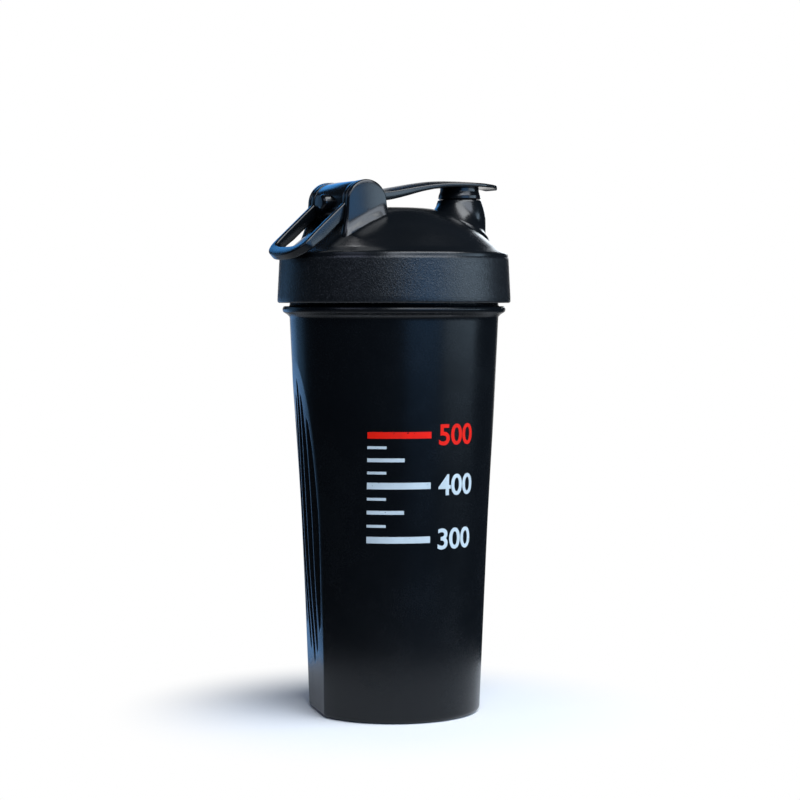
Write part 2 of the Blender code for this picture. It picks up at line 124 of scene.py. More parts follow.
class ShakerLid(bpy.types.PropertyGroup):
    """The screw lid, its spout and its hinge ears."""

    skirt_foot: length("Skirt foot", "Height of the skirt's lower edge", LID_BOX[0].z)
    skirt_radius: length("Skirt radius", "Outer radius at the skirt's foot", LID_BOX[1].x)
    shoulder_radius: length("Shoulder radius", "Outer radius at the shoulder", 0.0485)
    shoulder: length("Shoulder", "Height of the shoulder's upper face", 0.194)
    bore_radius: length("Bore radius", "Inner radius of the skirt", 0.0467)
    ceiling: length("Ceiling", "Height of the face that the seal bears on", 0.1917)
    dome_wall: length("Dome wall", "Thickness of the dome", 0.0023)
    spout_place: length("Spout place", "Distance of the spout from the bottle's axis", 0.0322)
    spout_top: length("Spout top", "Height of the spout's lip", 0.2174)
    spout_radius: length("Spout radius", "Outer radius of the spout at its lip", 0.0093)
    spout_bore: length("Spout bore", "Inner radius of the spout", 0.00765)
    ear_radius: length("Ear radius", "Radius of a hinge ear's round top", 0.0092)
    ear_in: length("Ear's inner face", "Distance of an ear's inner face from the middle", 0.0160)
    ear_out: length("Ear's outer face", "Distance of an ear's outer face from the middle", 0.0190)


class ShakerCap(bpy.types.PropertyGroup):
    """The flip cap on its barrel."""

    barrel_radius: length("Barrel radius", "Radius of the hinge barrel", 0.0089)
    barrel_half: length("Barrel half length", "Half of the barrel's length", 0.0125)
    trunnion_radius: length("Trunnion radius", "Radius of the pins that snap into the ears", 0.0029)
    trunnion_half: length("Trunnion reach", "Distance of a pin's end from the middle", 0.0172)
    knob_radius: length("Knob radius", "Radius of the round knob on the barrel", 0.0035)
    knob_reach: length("Knob reach", "Distance of the knob's top from the hinge line", 0.0125)
    plug_radius: length("Plug radius", "Radius of the plug that seals the spout", 0.00735)
    plug_foot: length("Plug foot", "Height of the plug's lower edge", 0.2126)
    tab_end: length("Tab end", "Distance of the tab's end from the bottle's axis", CAP_BOX[1].x)


class ShakerLoop(bpy.types.PropertyGroup):
    """The carry loop."""

    drop: angle("Drop", "Slope of the resting loop below level", 42.0)
    reach: length("Reach", "From the hinge line to the loop's tip", 0.0388)
    eye_in: length("Eye's inner face", "Distance of an eye's inner face from the middle", 0.0128)
    eye_out: length("Eye's outer face", "Distance of an eye's outer face from the middle", 0.0156)
    band_low: length("Band's lower edge", "Height of the band's lower edge above the slope", 0.0008)
    band_high: length("Band's upper edge", "Height of the band's upper edge above the slope", 0.0058)
    bore_radius: length("Bore radius", "Radius of the holes that turn on the pins", 0.0032)


class ShakerBall(bpy.types.PropertyGroup):
    """The whisk ball."""

    radius: length("Radius", "Outer radius of the ball", 0.0250)
    wire: length("Wire radius", "Radius of the wire", 0.00095)
    turns: bpy.props.IntProperty(name="Turns", description="Turns of wire from pole to pole", default=8)
    tilt: angle("Tilt", "How far the ball lies over on its side", 24.0)
    end_rise: angle("End", "Angle of the wire's ends above and below the ball's middle", 77.0)


class ShakerPrint(bpy.types.PropertyGroup):
    """The measuring scale printed on the cup."""

    aim: angle("Aim", "Direction of the print's middle, from the spout's side", -103.6)
    white: colour("White ink", "Colour of the white ink", (0.60, 0.68, 0.70))
    red: colour("Red ink", "Colour of the red ink", (0.88, 0.012, 0.003))


class ShakerPlastics(bpy.types.PropertyGroup):
    """Colours of the moulded plastics."""

    black: colour("Black", "Colour of the cup, lid, cap and loop", (0.0022, 0.0030, 0.0040))
    silicone: colour("Silicone", "Colour of the seal ring", (0.45, 0.46, 0.47))
    steel: colour("Steel", "Colour of the whisk ball's wire", (0.75, 0.76, 0.78))


class ShakerStage(bpy.types.PropertyGroup):
    """The camera, the floor and the lamps."""

    azimuth: angle("Azimuth", "Turn of the camera round the bottle", -29.0)
    distance: length("Distance", "Distance of the camera from the bottle's axis", 0.920)
    height: length("Height", "Height of the camera above the floor", 0.1746)
    tilt: angle("Tilt", "How far the camera looks down", 2.643)
    pan: angle("Pan", "How far the camera looks to the right of the bottle's axis", 0.159)
    lens: share("Lens", "Focal length in millimetres on a 36 mm sensor", 97.47, 10.0, 400.0)


GROUPS = {
    "shaker_cup": ShakerCup,
    "shaker_lid": ShakerLid,
    "shaker_cap": ShakerCap,
    "shaker_loop": ShakerLoop,
    "shaker_ball": ShakerBall,
    "shaker_print": ShakerPrint,
    "shaker_plastics": ShakerPlastics,
    "shaker_stage": ShakerStage,
}


def in_mm(name):
    """A settings group as plain values, with its lengths in millimetres."""
    group = getattr(bpy.context.scene, name)
    values = {}
    for key in GROUPS[name].__annotations__:
        value = getattr(group, key)
        is_length = group.bl_rna.properties[key].unit == "LENGTH" if isinstance(value, float) else False
        values[key] = value / MM if is_length else value
    return SimpleNamespace(**values)


# ---------------------------------------------------------------- shapes


CREASE = 38.0  # degrees between faces, past which an edge stays sharp
JOIN = 1e-7  # metres within which points are one
AXIS = 1e-6  # millimetres from the axis within which a ring is a pole
SECTION_STEPS = 14  # sides of a wire and of a thread's ridge


def soft(corners, steps=5):
    """A line through corners given as (across, up, radius), with each corner rounded to its radius."""
    line = []
    for before, corner, after in zip([None, *corners[:-1]], corners, [*corners[1:], None], strict=True):
        place = Vector(corner[:2])
        radius = corner[2] if len(corner) > 2 else 0.0
        if before is None or after is None or not radius:
            line.append(tuple(place))
            continue
        back = Vector(before[:2]) - place
        ahead = Vector(after[:2]) - place
        half = back.angle(ahead) / 2
        reach = min(radius / tan(half), 0.49 * back.length, 0.49 * ahead.length)
        start = place + back.normalized() * reach
        end = place + ahead.normalized() * reach
        centre = place + (back.normalized() + ahead.normalized()).normalized() * (reach / cos(half))
        sweep = (start - centre).angle(end - centre)
        for i in range(steps + 1):
            a = sin(sweep * (1 - i / steps)) / sin(sweep)
            b = sin(sweep * i / steps) / sin(sweep)
            line.append(tuple(centre + (start - centre) * a + (end - centre) * b))
    return line


def flowing(points, count):
    """A smooth curve through the points, evenly spread over them, as rows of numbers."""
    rows = np.asarray(points, float)
    padded = np.vstack([2 * rows[0] - rows[1], rows, 2 * rows[-1] - rows[-2]])
    made = []
    for i in range(count):
        place = (len(rows) - 1) * i / (count - 1)
        k = min(int(place), len(rows) - 2)
        t = place - k
        a, b, c, d = padded[k : k + 4]
        made.append(0.5 * (2 * b + (c - a) * t + (2 * a - 5 * b + 4 * c - d) * t**2
                           + (3 * b - a - 3 * c + d) * t**3))
    return np.array(made)


def show(name, data):
    """A new object in the scene."""
    made = bpy.data.objects.new(name, data)
    bpy.context.scene.collection.objects.link(made)
    return made


def close_up(mesh, crease):
    """Joins points that meet, turns the faces out, and smooths all but the creases."""
    edit = bmesh.new()
    edit.from_mesh(mesh)
    bmesh.ops.remove_doubles(edit, verts=edit.verts, dist=JOIN)
    bmesh.ops.recalc_face_normals(edit, faces=edit.faces)
    for face in edit.faces:
        face.smooth = True
    edit.to_mesh(mesh)
    edit.free()
    mesh.set_sharp_from_angle(angle=radians(crease))


def piece(name, points, faces, crease=CREASE, place=None):
    """A smooth closed mesh from points in millimetres."""
    mesh = bpy.data.meshes.new(name)
    mesh.from_pydata([tuple(p) for p in points], [], faces)
    if place is not None:
        mesh.transform(place)
    mesh.transform(Matrix.Scale(MM, 4))
    close_up(mesh, crease)
    return show(name, mesh)


def loft(rings, ends=True, round_again=False):
    """Points and faces through rings of equal count. A ring of one point closes to a pole."""
    points, starts = [], []
    for ring in rings:
        starts.append(len(points))
        points.extend(ring)
    pairs = list(zip(range(len(rings) - 1), range(1, len(rings)), strict=True))
    if round_again:
        pairs.append((len(rings) - 1, 0))
    faces = []
    for one, two in pairs:
        low, high = rings[one], rings[two]
        a, b = starts[one], starts[two]
        count = max(len(low), len(high))
        for i in range(count):
            j = (i + 1) % count
            if len(low) == 1:
                faces.append((a, b + j, b + i))
            elif len(high) == 1:
                faces.append((a + i, a + j, b))
            else:
                faces.append((a + i, a + j, b + j, b + i))
    if ends and not round_again:
        if len(rings[0]) > 1:
            faces.append(tuple(range(len(rings[0])))[::-1])
        if len(rings[-1]) > 1:
            faces.append(tuple(starts[-1] + i for i in range(len(rings[-1]))))
    return points, faces


def circle(radius, height, steps, middle=0.0):
    """A level ring of points round Z, or round a place along X."""
    aims = [tau * i / steps for i in range(steps)]
    return [(middle + radius * cos(a), radius * sin(a), height) for a in aims]


def turned(line, steps, round_again=False):
    """Points and faces of a shape turned round Z from (radius, height) places."""
    rings = [circle(r, z, steps) if r > AXIS else [(0.0, 0.0, z)] for r, z in line]
    return loft(rings, round_again=round_again)


def across_hinge(middle=0.0):
    """Turns the Z axis of a turned shape onto the hinge line."""
    return Matrix.Translation(HINGE + Vector((0, middle, 0))) @ Matrix.Rotation(radians(-90), 4, "X")


def bar_line(radius, half, edge=0.0):
    """The outline of a round bar with rounded ends."""
    return soft([(0, -half), (radius, -half, edge), (radius, half, edge), (0, half)], 4)


def hinge_bar(name, radius, half, steps=96, edge=0.0, middle=0.0):
    return piece(name, *turned(bar_line(radius, half, edge), steps), place=across_hinge(middle))


def carve(target, steps):
    """Cuts and joins helper solids, given as (operation, helper), and then removes the helpers."""
    for operation, other in steps:
        modifier = target.modifiers.new(operation, "BOOLEAN")
        modifier.operation = operation
        modifier.solver = "EXACT"
        modifier.object = other
    settle(target)
    for _, other in steps:
        bpy.data.objects.remove(other, do_unlink=True)
    return target


def as_mesh(target):
    """The plain mesh of an object with its modifiers."""
    return bpy.data.meshes.new_from_object(target.evaluated_get(bpy.context.evaluated_depsgraph_get()))


def settle(target, crease=CREASE):
    """Turns an object and its modifiers into a plain mesh."""
    mesh, old = as_mesh(target), target.data
    target.modifiers.clear()
    target.data = mesh
    mesh.name = target.name
    bpy.data.meshes.remove(old)
    mesh.set_sharp_from_angle(angle=radians(crease))


def finish_piece(made, body, finish, slot, *stands_for):
    """Gives a piece its surface, by name, and its body; its slot is not used."""
    made.data.materials.clear()
    made.data.materials.append(surface(finish))
    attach(made, body)
    if stands_for:
        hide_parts(*stands_for)
    return made


# ---------------------------------------------------------------- node trees


def add(tree, kind, inputs=None, **settings):
    """One node. An input takes a socket to link, or a plain value."""
    node = tree.nodes.new(kind)
    for key, value in settings.items():
        setattr(node, key, value)
    for key, value in (inputs or {}).items():
        socket = node.inputs[key]
        if isinstance(value, bpy.types.NodeSocket):
            tree.links.new(value, socket)
        else:
            socket.default_value = value
    return node


def out(tree, kind, inputs=None, pick=0, **settings):
    """An output of a new node: the first, or the one picked."""
    return add(tree, kind, inputs, **settings).outputs[pick]


def maths(tree, operation, *values):
    return out(tree, "ShaderNodeMath", dict(enumerate(values)), operation=operation)


def sums(tree):
    """Short names for a tree's commonest sums: times, plus and minus."""
    return (partial(maths, tree, operation) for operation in ("MULTIPLY", "ADD", "SUBTRACT"))


def xyz(tree, x=0.0, y=0.0, z=0.0):
    """A vector from three values or sockets."""
    return out(tree, "ShaderNodeCombineXYZ", {"X": x, "Y": y, "Z": z})


def parts(tree, vector):
    """The outputs X, Y and Z of a vector."""
    return add(tree, "ShaderNodeSeparateXYZ", {0: vector}).outputs


def polar(tree, far, turn):
    """A distance at a turn, as its parts along the first and the second axis."""
    return [maths(tree, "MULTIPLY", far, maths(tree, wave, turn)) for wave in ("COSINE", "SINE")]


def shape_tree(name, inputs):
    """An empty Geometry Nodes tree with named inputs, and its Group Input node."""
    tree = bpy.data.node_groups.new(name, "GeometryNodeTree")
    for label, kind, default in inputs:
        socket = tree.interface.new_socket(label, in_out="INPUT", socket_type=f"NodeSocket{kind}")
        if kind != "Material":
            socket.default_value = default
    tree.interface.new_socket("Geometry", in_out="OUTPUT", socket_type="NodeSocketGeometry")
    return tree, add(tree, "NodeGroupInput").outputs


def close_tree(tree, geometry, material):
    """Ends a tree with real geometry in one material."""
    real = out(tree, "GeometryNodeRealizeInstances", {0: geometry})
    painted = out(tree, "GeometryNodeSetMaterial", {"Geometry": real, "Material": material})
    add(tree, "NodeGroupOutput", {0: painted})


def wire_section(tree, radius):
    """A small circle that is drawn along a curve."""
    return out(tree, "GeometryNodeCurvePrimitiveCircle", {"Resolution": SECTION_STEPS, "Radius": radius})


def grow(name, tree, values, crease=CREASE):
    """An object made by a Geometry Nodes tree from the given input values, as a plain mesh."""
    made = show(name, bpy.data.meshes.new(name))
    modifier = made.modifiers.new(tree.name, "NODES")
    modifier.node_group = tree
    for item in tree.interface.items_tree:
        if item.in_out == "INPUT" and item.name in values:
            modifier[item.identifier] = values[item.name]
    settle(made)
    close_up(made.data, crease)
    return made


# ---------------------------------------------------------------- surfaces


def surface_tree(name):
    """A new material, its tree, its shader, and the place on the piece."""
    made = bpy.data.materials.new(name)
    made.use_nodes = True
    tree = made.node_tree
    return made, tree, tree.nodes["Principled BSDF"], out(tree, "ShaderNodeTexCoord", pick="Object")


def noise(tree, place, scale, detail=2.0, rough=0.5):
    inputs = {"Vector": place, "Scale": scale, "Detail": detail, "Roughness": rough}
    return out(tree, "ShaderNodeTexNoise", inputs, "Fac")


def span(tree, value, low, high, to_low=0.0, to_high=1.0, **settings):
    """Maps a value from one range to another, and holds it there."""
    inputs = {"Value": value, "From Min": low, "From Max": high, "To Min": to_low, "To Max": to_high}
    return out(tree, "ShaderNodeMapRange", inputs, "Result", **settings)


def mixed(tree, factor, one, two):
    """A colour between two, each a socket or three numbers."""
    one, two = ((*c, 1.0) if isinstance(c, tuple) else c for c in (one, two))
    return out(tree, "ShaderNodeMix", {0: factor, 6: one, 7: two}, 2, data_type="RGBA")


def toned(tint, gain, lift=0.0):
    return tuple(c * gain + lift for c in tint)


def bumps(tree, layers):
    """A normal from (height, strength, distance) layers, one over the other."""
    below = {}
    for height, strength, distance in layers:
        inputs = {"Height": height, "Strength": strength, "Distance": distance, **below}
        below = {"Normal": out(tree, "ShaderNodeBump", inputs)}
    return below["Normal"]


def paint(tree, shader, base, rough, layers):
    """Links a colour, a roughness and layers of bumps to a shader."""
    for label, socket in (("Base Color", base), ("Roughness", rough), ("Normal", bumps(tree, layers))):
        tree.links.new(socket, shader.inputs[label])


GRAIN_SIZE = 0.00035  # metres
SURFACES = {}
BLASTED_AND_GLINTS_BELOW = 0.1925  # metres up: the lid's skirt is blasted from here down, and pale specks are painted on it there as glints
BLAST_EDGE = 0.0008  # metres over which the blasting sets in


def moulded(name, tint, rough, grain, clouds, gloss=0.5, skirt_top=None):
    """Moulded polypropylene: near black, with a fine grain, faint clouds and a few light specks.
    Below skirt_top the mould is blasted, which gives a coarser grain, and pale specks are painted there as
    its glints."""
    made, tree, shader, place = surface_tree(name)
    times, plus, _ = sums(tree)
    fine = noise(tree, place, 1 / GRAIN_SIZE, 3.0, 0.6)
    cloud = noise(tree, place, 38.0, 3.0, 0.55)
    speck = noise(tree, place, 1400.0, 1.0, 0.4)
    base = mixed(tree, span(tree, cloud, 0.3, 0.75), tint, toned(tint, 1.35))
    base = mixed(tree, span(tree, speck, 0.7, 0.78, 0.0, 0.55), base, toned(tint, 2.1, 0.004))
    roughness = span(tree, cloud, 0.3, 0.7, rough - clouds, rough + clouds)
    roughness = plus(roughness, span(tree, fine, 0.3, 0.7, -0.03, 0.03))
    layers = [(cloud, 0.12, 0.0004), (fine, grain, 0.00003)]
    if skirt_top is not None:
        below = span(tree, parts(tree, place)["Z"], skirt_top, skirt_top - BLAST_EDGE)
        coarse = noise(tree, place, 1250.0, 2.0, 0.75)
        # Painted glints: pale specks mixed into the colour below the skirt's top, standing in for the sparkle
        # of the blasted surface.
        painted_glints = span(tree, noise(tree, place, 2600.0, 1.0, 0.5), 0.57, 0.68, 0.0, 0.9)
        base = mixed(tree, times(below, painted_glints), base, toned(tint, 4.0, 0.03))
        roughness = plus(roughness, times(below, 0.11))
        layers.append((times(below, coarse), 0.9, 0.00017))
    paint(tree, shader, base, roughness, layers)
    shader.inputs["Specular IOR Level"].default_value = gloss
    return made


def printed(name, ink, bare):
    """Screen-printed ink: flat and slightly rubbed, with pinholes where the bare plastic shows."""
    made, tree, shader, place = surface_tree(name)
    rub = noise(tree, place, 90.0, 4.0, 0.6)
    pin = noise(tree, place, 900.0, 2.0, 0.5)
    weave = noise(tree, place, 4200.0, 1.0, 0.5)
    base = mixed(tree, span(tree, rub, 0.35, 0.7), ink, toned(ink, 0.86))
    base = mixed(tree, span(tree, pin, 0.715, 0.74), base, bare)
    rough = span(tree, rub, 0.3, 0.7, 0.42, 0.55)
    paint(tree, shader, base, rough, [(weave, 0.2, 0.00002), (pin, 0.15, 0.00003)])
    shader.inputs["Specular IOR Level"].default_value = 0.2
    return made


def silicone(name, tint):
    """Matt silicone rubber with a fine, dusty bloom."""
    made, tree, shader, place = surface_tree(name)
    fine = noise(tree, place, 2400.0, 2.0, 0.6)
    base = mixed(tree, noise(tree, place, 60.0, 3.0, 0.6), tint, toned(tint, 0.86))
    paint(tree, shader, base, span(tree, fine, 0.3, 0.7, 0.52, 0.66), [(fine, 0.25, 0.00003)])
    return made


def drawn_steel(name, tint):
    """Drawn stainless wire with faint die marks."""
    made, tree, shader, place = surface_tree(name)
    streak = noise(tree, place, 700.0, 3.0, 0.7)
    base = mixed(tree, noise(tree, place, 120.0), tint, toned(tint, 0.85))
    paint(tree, shader, base, span(tree, streak, 0.3, 0.7, 0.14, 0.28), [(streak, 0.12, 0.00002)])
    shader.inputs["Metallic"].default_value = 1.0
    return made


def surface(name):
    """A surface by its name, made when it is first asked for."""
    if name not in SURFACES:
        plastics, inks = in_mm("shaker_plastics"), in_mm("shaker_print")
        black = tuple(plastics.black)
        makers = {
            "cup_satin": (moulded, black, 0.25, 0.14, 0.04, 0.3),
            "lid_satin": (moulded, black, 0.22, 0.12, 0.03, 0.5, BLASTED_AND_GLINTS_BELOW),
            "cap_gloss": (moulded, black, 0.20, 0.05, 0.03),
            "loop_gloss": (moulded, black, 0.23, 0.07, 0.04),
            "white_ink": (printed, tuple(inks.white), black),
            "red_ink": (printed, tuple(inks.red), black),
            "seal_silicone": (silicone, tuple(plastics.silicone)),
            "whisk_steel": (drawn_steel, tuple(plastics.steel)),
        }
        maker, *values = makers[name]
        SURFACES[name] = maker(name, *values)
    return SURFACES[name]


# ---------------------------------------------------------------- cup


# Heights between which a flute runs, by how many steps it is from the grip's middle
FLUTE_SPANS = {0: (22.0, 141.0), 1: (27.0, 135.0), 2: (37.0, 125.0)}
FLUTE_FLAT = 0.25  # share of a flute's half width that is its flat bottom
FLUTE_WIDEST = 0.172  # a flute's greatest half width, as a share of the grip's
COLUMNS_IN_GRIP = 88
COLUMNS_BETWEEN = 64
LEAST_GRIP_HALF = 5.0
GRIP_MARGIN = 1.12  # half width of a grip's columns, as a share of the grip's own
GRIP_EDGE_SOFT = 0.05
CROWN_FROM = 20.0  # height at which the grip's crown begins
INNER_CROWN = 0.45  # share of the grip's crown that shows inside
WALL_TOP = 166.0  # where the tapered wall ends under the bead
FLOOR_ROUND = 2.4  # radius between floor and wall
THREAD_STAND = 0.0019
THREAD_HALF = 0.0015
# Height in metres, turns, and start in degrees
NECK_THREAD = (0.177, 1.1, 20)
SKIRT_THREAD = (0.1759, 1.15, 60)


def wall_radius(cup, z):
    return cup.foot_radius + cup.taper * z


def leaf_half(cup, z):
    """Half width of the flattened grip at a height."""
    if z >= cup.grip_top:
        return 0.0
    if z >= cup.grip_widest:
        up = (z - cup.grip_widest) / (cup.grip_top - cup.grip_widest)
        return cup.grip_half * (1 - up**2) ** (1 / 2.2)
    down = (cup.grip_widest - z) / cup.grip_widest
    return cup.grip_half - (cup.grip_half - cup.grip_foot_half) * down**1.3


def swell(z, low, high, power):
    """0 outside a span of heights and 1 in its middle."""
    part = (z - low) / (high - low)
    return sin(pi * part) ** power if 0 < part < 1 else 0.0


def leaf_depth(cup, z, t, crown=1.0):
    """How far the grip lies inside the round wall at a distance t from its middle line."""
    half = leaf_half(cup, z)
    if half < GRIP_EDGE_SOFT:
        return 0.0
    radius = wall_radius(cup, z)
    flat = sqrt(radius**2 - t**2) - sqrt(radius**2 - half**2)
    bulge = crown * cup.grip_bulge * swell(z, CROWN_FROM, cup.grip_top, 1.3) * max(0.0, 1 - (t / half) ** 2)
    depth = flat - bulge
    if depth <= -1:
        return 0.0
    # The grip meets the round wall in a soft edge.
    return 0.5 * (depth + sqrt(depth**2 + GRIP_EDGE_SOFT**2)) - 0.25 * GRIP_EDGE_SOFT


def flute_depth(cup, z, t):
    """Depth of the pointed flutes at a place on the grip."""
    half = max(leaf_half(cup, z), LEAST_GRIP_HALF)
    deepest = 0.0
    for index in range(-2, 3):
        low, high = FLUTE_SPANS[abs(index)]
        part = swell(z, low, high, 0.45)
        if not part:
            continue
        wide = min(max(0.3, cup.flute_half * swell(z, low, high, 0.3)), FLUTE_WIDEST * half)
        off = abs(t - cup.flute_step * index * half) / wide
        if off < 1.0:
            bowl = 0.5 * (1 + cos(pi * max(0.0, off - FLUTE_FLAT) / (1 - FLUTE_FLAT)))
            deepest = max(deepest, cup.flute_deep * part * bowl)
    return deepest


def cup_ring(cup, z, offset=0.0, crown=1.0, inset=0.0, fluted=True):
    """One ring of the cup's wall: each grip, and the round wall after it."""
    radius = wall_radius(cup, z)
    half = max(leaf_half(cup, z), LEAST_GRIP_HALF) * GRIP_MARGIN
    ring = []
    for side in range(2):
        turn = cup.turn + pi * side
        for i in range(COLUMNS_IN_GRIP + 1):
            t = half * (2 * i / COLUMNS_IN_GRIP - 1)
            x = sqrt(radius**2 - t**2) - leaf_depth(cup, z, t, crown)
            x -= flute_depth(cup, z, t) if fluted else 0.0
            scale = (x - offset - inset) / x
            x, y = x * scale, t * scale
            ring.append((x * cos(turn) - y * sin(turn), x * sin(turn) + y * cos(turn), z))
        edge = asin(half / radius)
        for i in range(1, COLUMNS_BETWEEN):
            aim = turn + edge + (pi - 2 * edge) * i / COLUMNS_BETWEEN
            far = radius - offset - inset
            ring.append((far * cos(aim), far * sin(aim), z))
    return ring


def round_ring(like, radius, z):
    """A round ring whose points lie in the same directions as those of another ring."""
    aims = [atan2(y, x) for x, y, _ in like]
    return [(radius * cos(a), radius * sin(a), z) for a in aims]


def spread(low, high, step):
    count = max(2, round((high - low) / step))
    return [low + (high - low) * i / count for i in range(count + 1)]


def cup_mesh(cup):
    """The whole cup from the middle of its foot, up outside, over the rim and down to its floor."""
    bead, neck, mouth = cup.bead_radius, cup.neck_radius, cup.mouth_radius
    foot = cup_ring(cup, 0.0, inset=cup.foot_round, fluted=False)
    under = soft([(12.0, 0.0, 0.3), (12.8, 0.9, 0.3), (27.7, 0.9, 0.3), (28.5, 0.0, 0.3), (30.5, 0.0)], 3)
    rings = [[(0.0, 0.0, 0.0)]]
    rings += [round_ring(foot, r, z) for r, z in [(6.0, 0.0), (11.2, 0.0), *under]]
    rings.append(foot)
    for i in range(1, 8):
        a = pi / 2 * i / 7
        inset = cup.foot_round * (1 - sin(a))
        rings.append(cup_ring(cup, cup.foot_round * (1 - cos(a)), inset=inset, fluted=False))
    rings += [cup_ring(cup, z) for z in spread(cup.foot_round + 1.2, WALL_TOP, 1.15)]
    top = rings[-1]
    collar = soft([(wall_radius(cup, 166.9), 166.9), (44.35, 167.6, 2.0), (45.3, 168.55, 1.2),
                   (bead - 0.25, 169.6, 0.9), (bead, 170.8, 0.9), (bead - 0.5, cup.bead_height, 0.7),
                   (neck + 0.2, cup.bead_height, 0.5), (neck, cup.bead_height + 1.2, 0.6),
                   (neck, cup.rim, 0.7), (mouth, cup.rim, 0.5), (mouth, 168.0)], 5)
    rings += [round_ring(top, r, z) for r, z in collar]
    inside = partial(cup_ring, cup, offset=cup.wall, crown=INNER_CROWN, fluted=False)
    rings += [inside(z) for z in spread(8.0, WALL_TOP, 6.0)[::-1]]
    for i in range(6):
        a = pi / 2 * i / 5
        rings.append(inside(cup.floor + FLOOR_ROUND * (1 - sin(a)), inset=FLOOR_ROUND * (1 - cos(a))))
    rings += [round_ring(foot, 15.0, cup.floor), [(0.0, 0.0, cup.floor)]]
    return loft(rings)


def thread_tree():
    """A helical ridge that fades out at both ends."""
    tree, given = shape_tree("screw thread", [
        ("Radius", "Float", 0.0442), ("Height", "Float", 0.0), ("Lead", "Float", 0.008),
        ("Turns", "Float", 1.1), ("Start", "Float", 0.0), ("Stand", "Float", 0.0018),
        ("Half width", "Float", 0.0015), ("Material", "Material", None),
    ])
    times, _, minus = sums(tree)
    path = out(tree, "GeometryNodeCurveSpiral", {
        "Resolution": 120, "Rotations": given["Turns"], "Start Radius": given["Radius"],
        "End Radius": given["Radius"], "Height": times(given["Lead"], given["Turns"])})
    along = out(tree, "GeometryNodeSplineParameter", pick="Factor")
    ends = times(along, minus(1.0, along))
    fade = maths(tree, "POWER", maths(tree, "MINIMUM", times(ends, 12.0), 1.0), 0.5)
    move, spin = xyz(tree, z=given["Height"]), xyz(tree, z=given["Start"])
    placed = out(tree, "GeometryNodeTransform", {"Geometry": path, "Translation": move, "Rotation": spin})
    upright = out(tree, "GeometryNodeSetCurveNormal", {"Curve": placed}, mode="Z_UP")
    profile = wire_section(tree, given["Half width"])
    flat = xyz(tree, maths(tree, "DIVIDE", given["Stand"], given["Half width"]), 1.0, 1.0)
    section = out(tree, "GeometryNodeTransform", {"Geometry": profile, "Scale": flat})
    ridge = out(tree, "GeometryNodeCurveToMesh", {
        "Curve": upright, "Profile Curve": section, "Scale": fade, "Fill Caps": True})
    close_tree(tree, ridge, given["Material"])
    return tree


def add_thread(name, body, finish, slot, radius, height, turns, start):
    """A thread of the shared lead on the neck or in the skirt. Its radius is in millimetres."""
    tree = bpy.data.node_groups.get("screw thread") or thread_tree()
    ridge = grow(name, tree, {
        "Radius": radius * MM, "Height": height, "Lead": LEAD * MM, "Turns": turns, "Start": radians(start),
        "Stand": THREAD_STAND, "Half width": THREAD_HALF, "Material": surface(finish)})
    finish_piece(ridge, body, finish, slot)


class SHAKER_OT_cup(bpy.types.Operator):
    """Make the tapered cup with its two fluted thumb grips, its bead and its threaded neck"""

    bl_idname = "shaker.cup"
    bl_label = "Cup"

    def execute(self, context):
        cup = in_mm("shaker_cup")
        body = piece("cup_body", *cup_mesh(cup), crease=44.0)
        finish_piece(body, "cup", "cup_satin", "cup_plastic", "cup")
        add_thread("neck_thread", "cup", "cup_satin", "cup_plastic", cup.neck_radius - 0.1, *NECK_THREAD)
        return {"FINISHED"}


# ---------------------------------------------------------------- print


FIRST_MARK_ML = 300
MARK_STEP_ML = 25
MARKS = 9
PRINT_LIFT = 0.00006
MARKS_LEFT = -0.0222
NUMERAL_LEFT = 0.0078
NUMERAL_TALL = 0.0082
DIGIT_SHARE = 0.69  # height of a digit as a share of the font's size
DIGIT_FATTER = 0.00022
PRINT_EDGE = 0.0011  # longest edge, so that the digits bend with the cup
FILL_STEP = 0.25  # millimetres of height for each slice of the volume
# A mark's length and thickness, as shares of the greatest: at least, and more at each second and fourth
MARK_SIZES = (0.30, 0.28, 0.42)
MARK_THICKS = (0.42, 0.16, 0.42)
LEVEL_MARKS = (("level_marks", "white_ink", 0, MARKS - 1), ("top_mark", "red_ink", MARKS - 1, 1))
NUMBERS = ((300, "white_ink"), (400, "white_ink"), (500, "red_ink"))


def height_of(cup, millilitres):
    """The height at which the cup holds a volume."""
    z, held = cup.floor, 0.0
    while held < millilitres:
        half = leaf_half(cup, z)
        radius = wall_radius(cup, z) - cup.wall
        segment = radius**2 * asin(half / radius) - half * sqrt(radius**2 - half**2)
        held += (pi * radius**2 - 2 * segment) * FILL_STEP / 1000
        z += FILL_STEP
    return z


def wrap_on_cup(tree, geometry, given):
    """Bends flat work, drawn across X and up Z with its thickness along Y, round the cup."""
    _, plus, _ = sums(tree)
    flat = parts(tree, out(tree, "GeometryNodeInputPosition"))
    wall = maths(tree, "MULTIPLY_ADD", flat["Z"], given["Taper"], given["Foot radius"])
    turn = plus(given["Aim"], maths(tree, "DIVIDE", flat["X"], wall))
    bent = xyz(tree, *polar(tree, plus(wall, flat["Y"]), turn), flat["Z"])
    return out(tree, "GeometryNodeSetPosition", {"Geometry": geometry, "Position": bent})


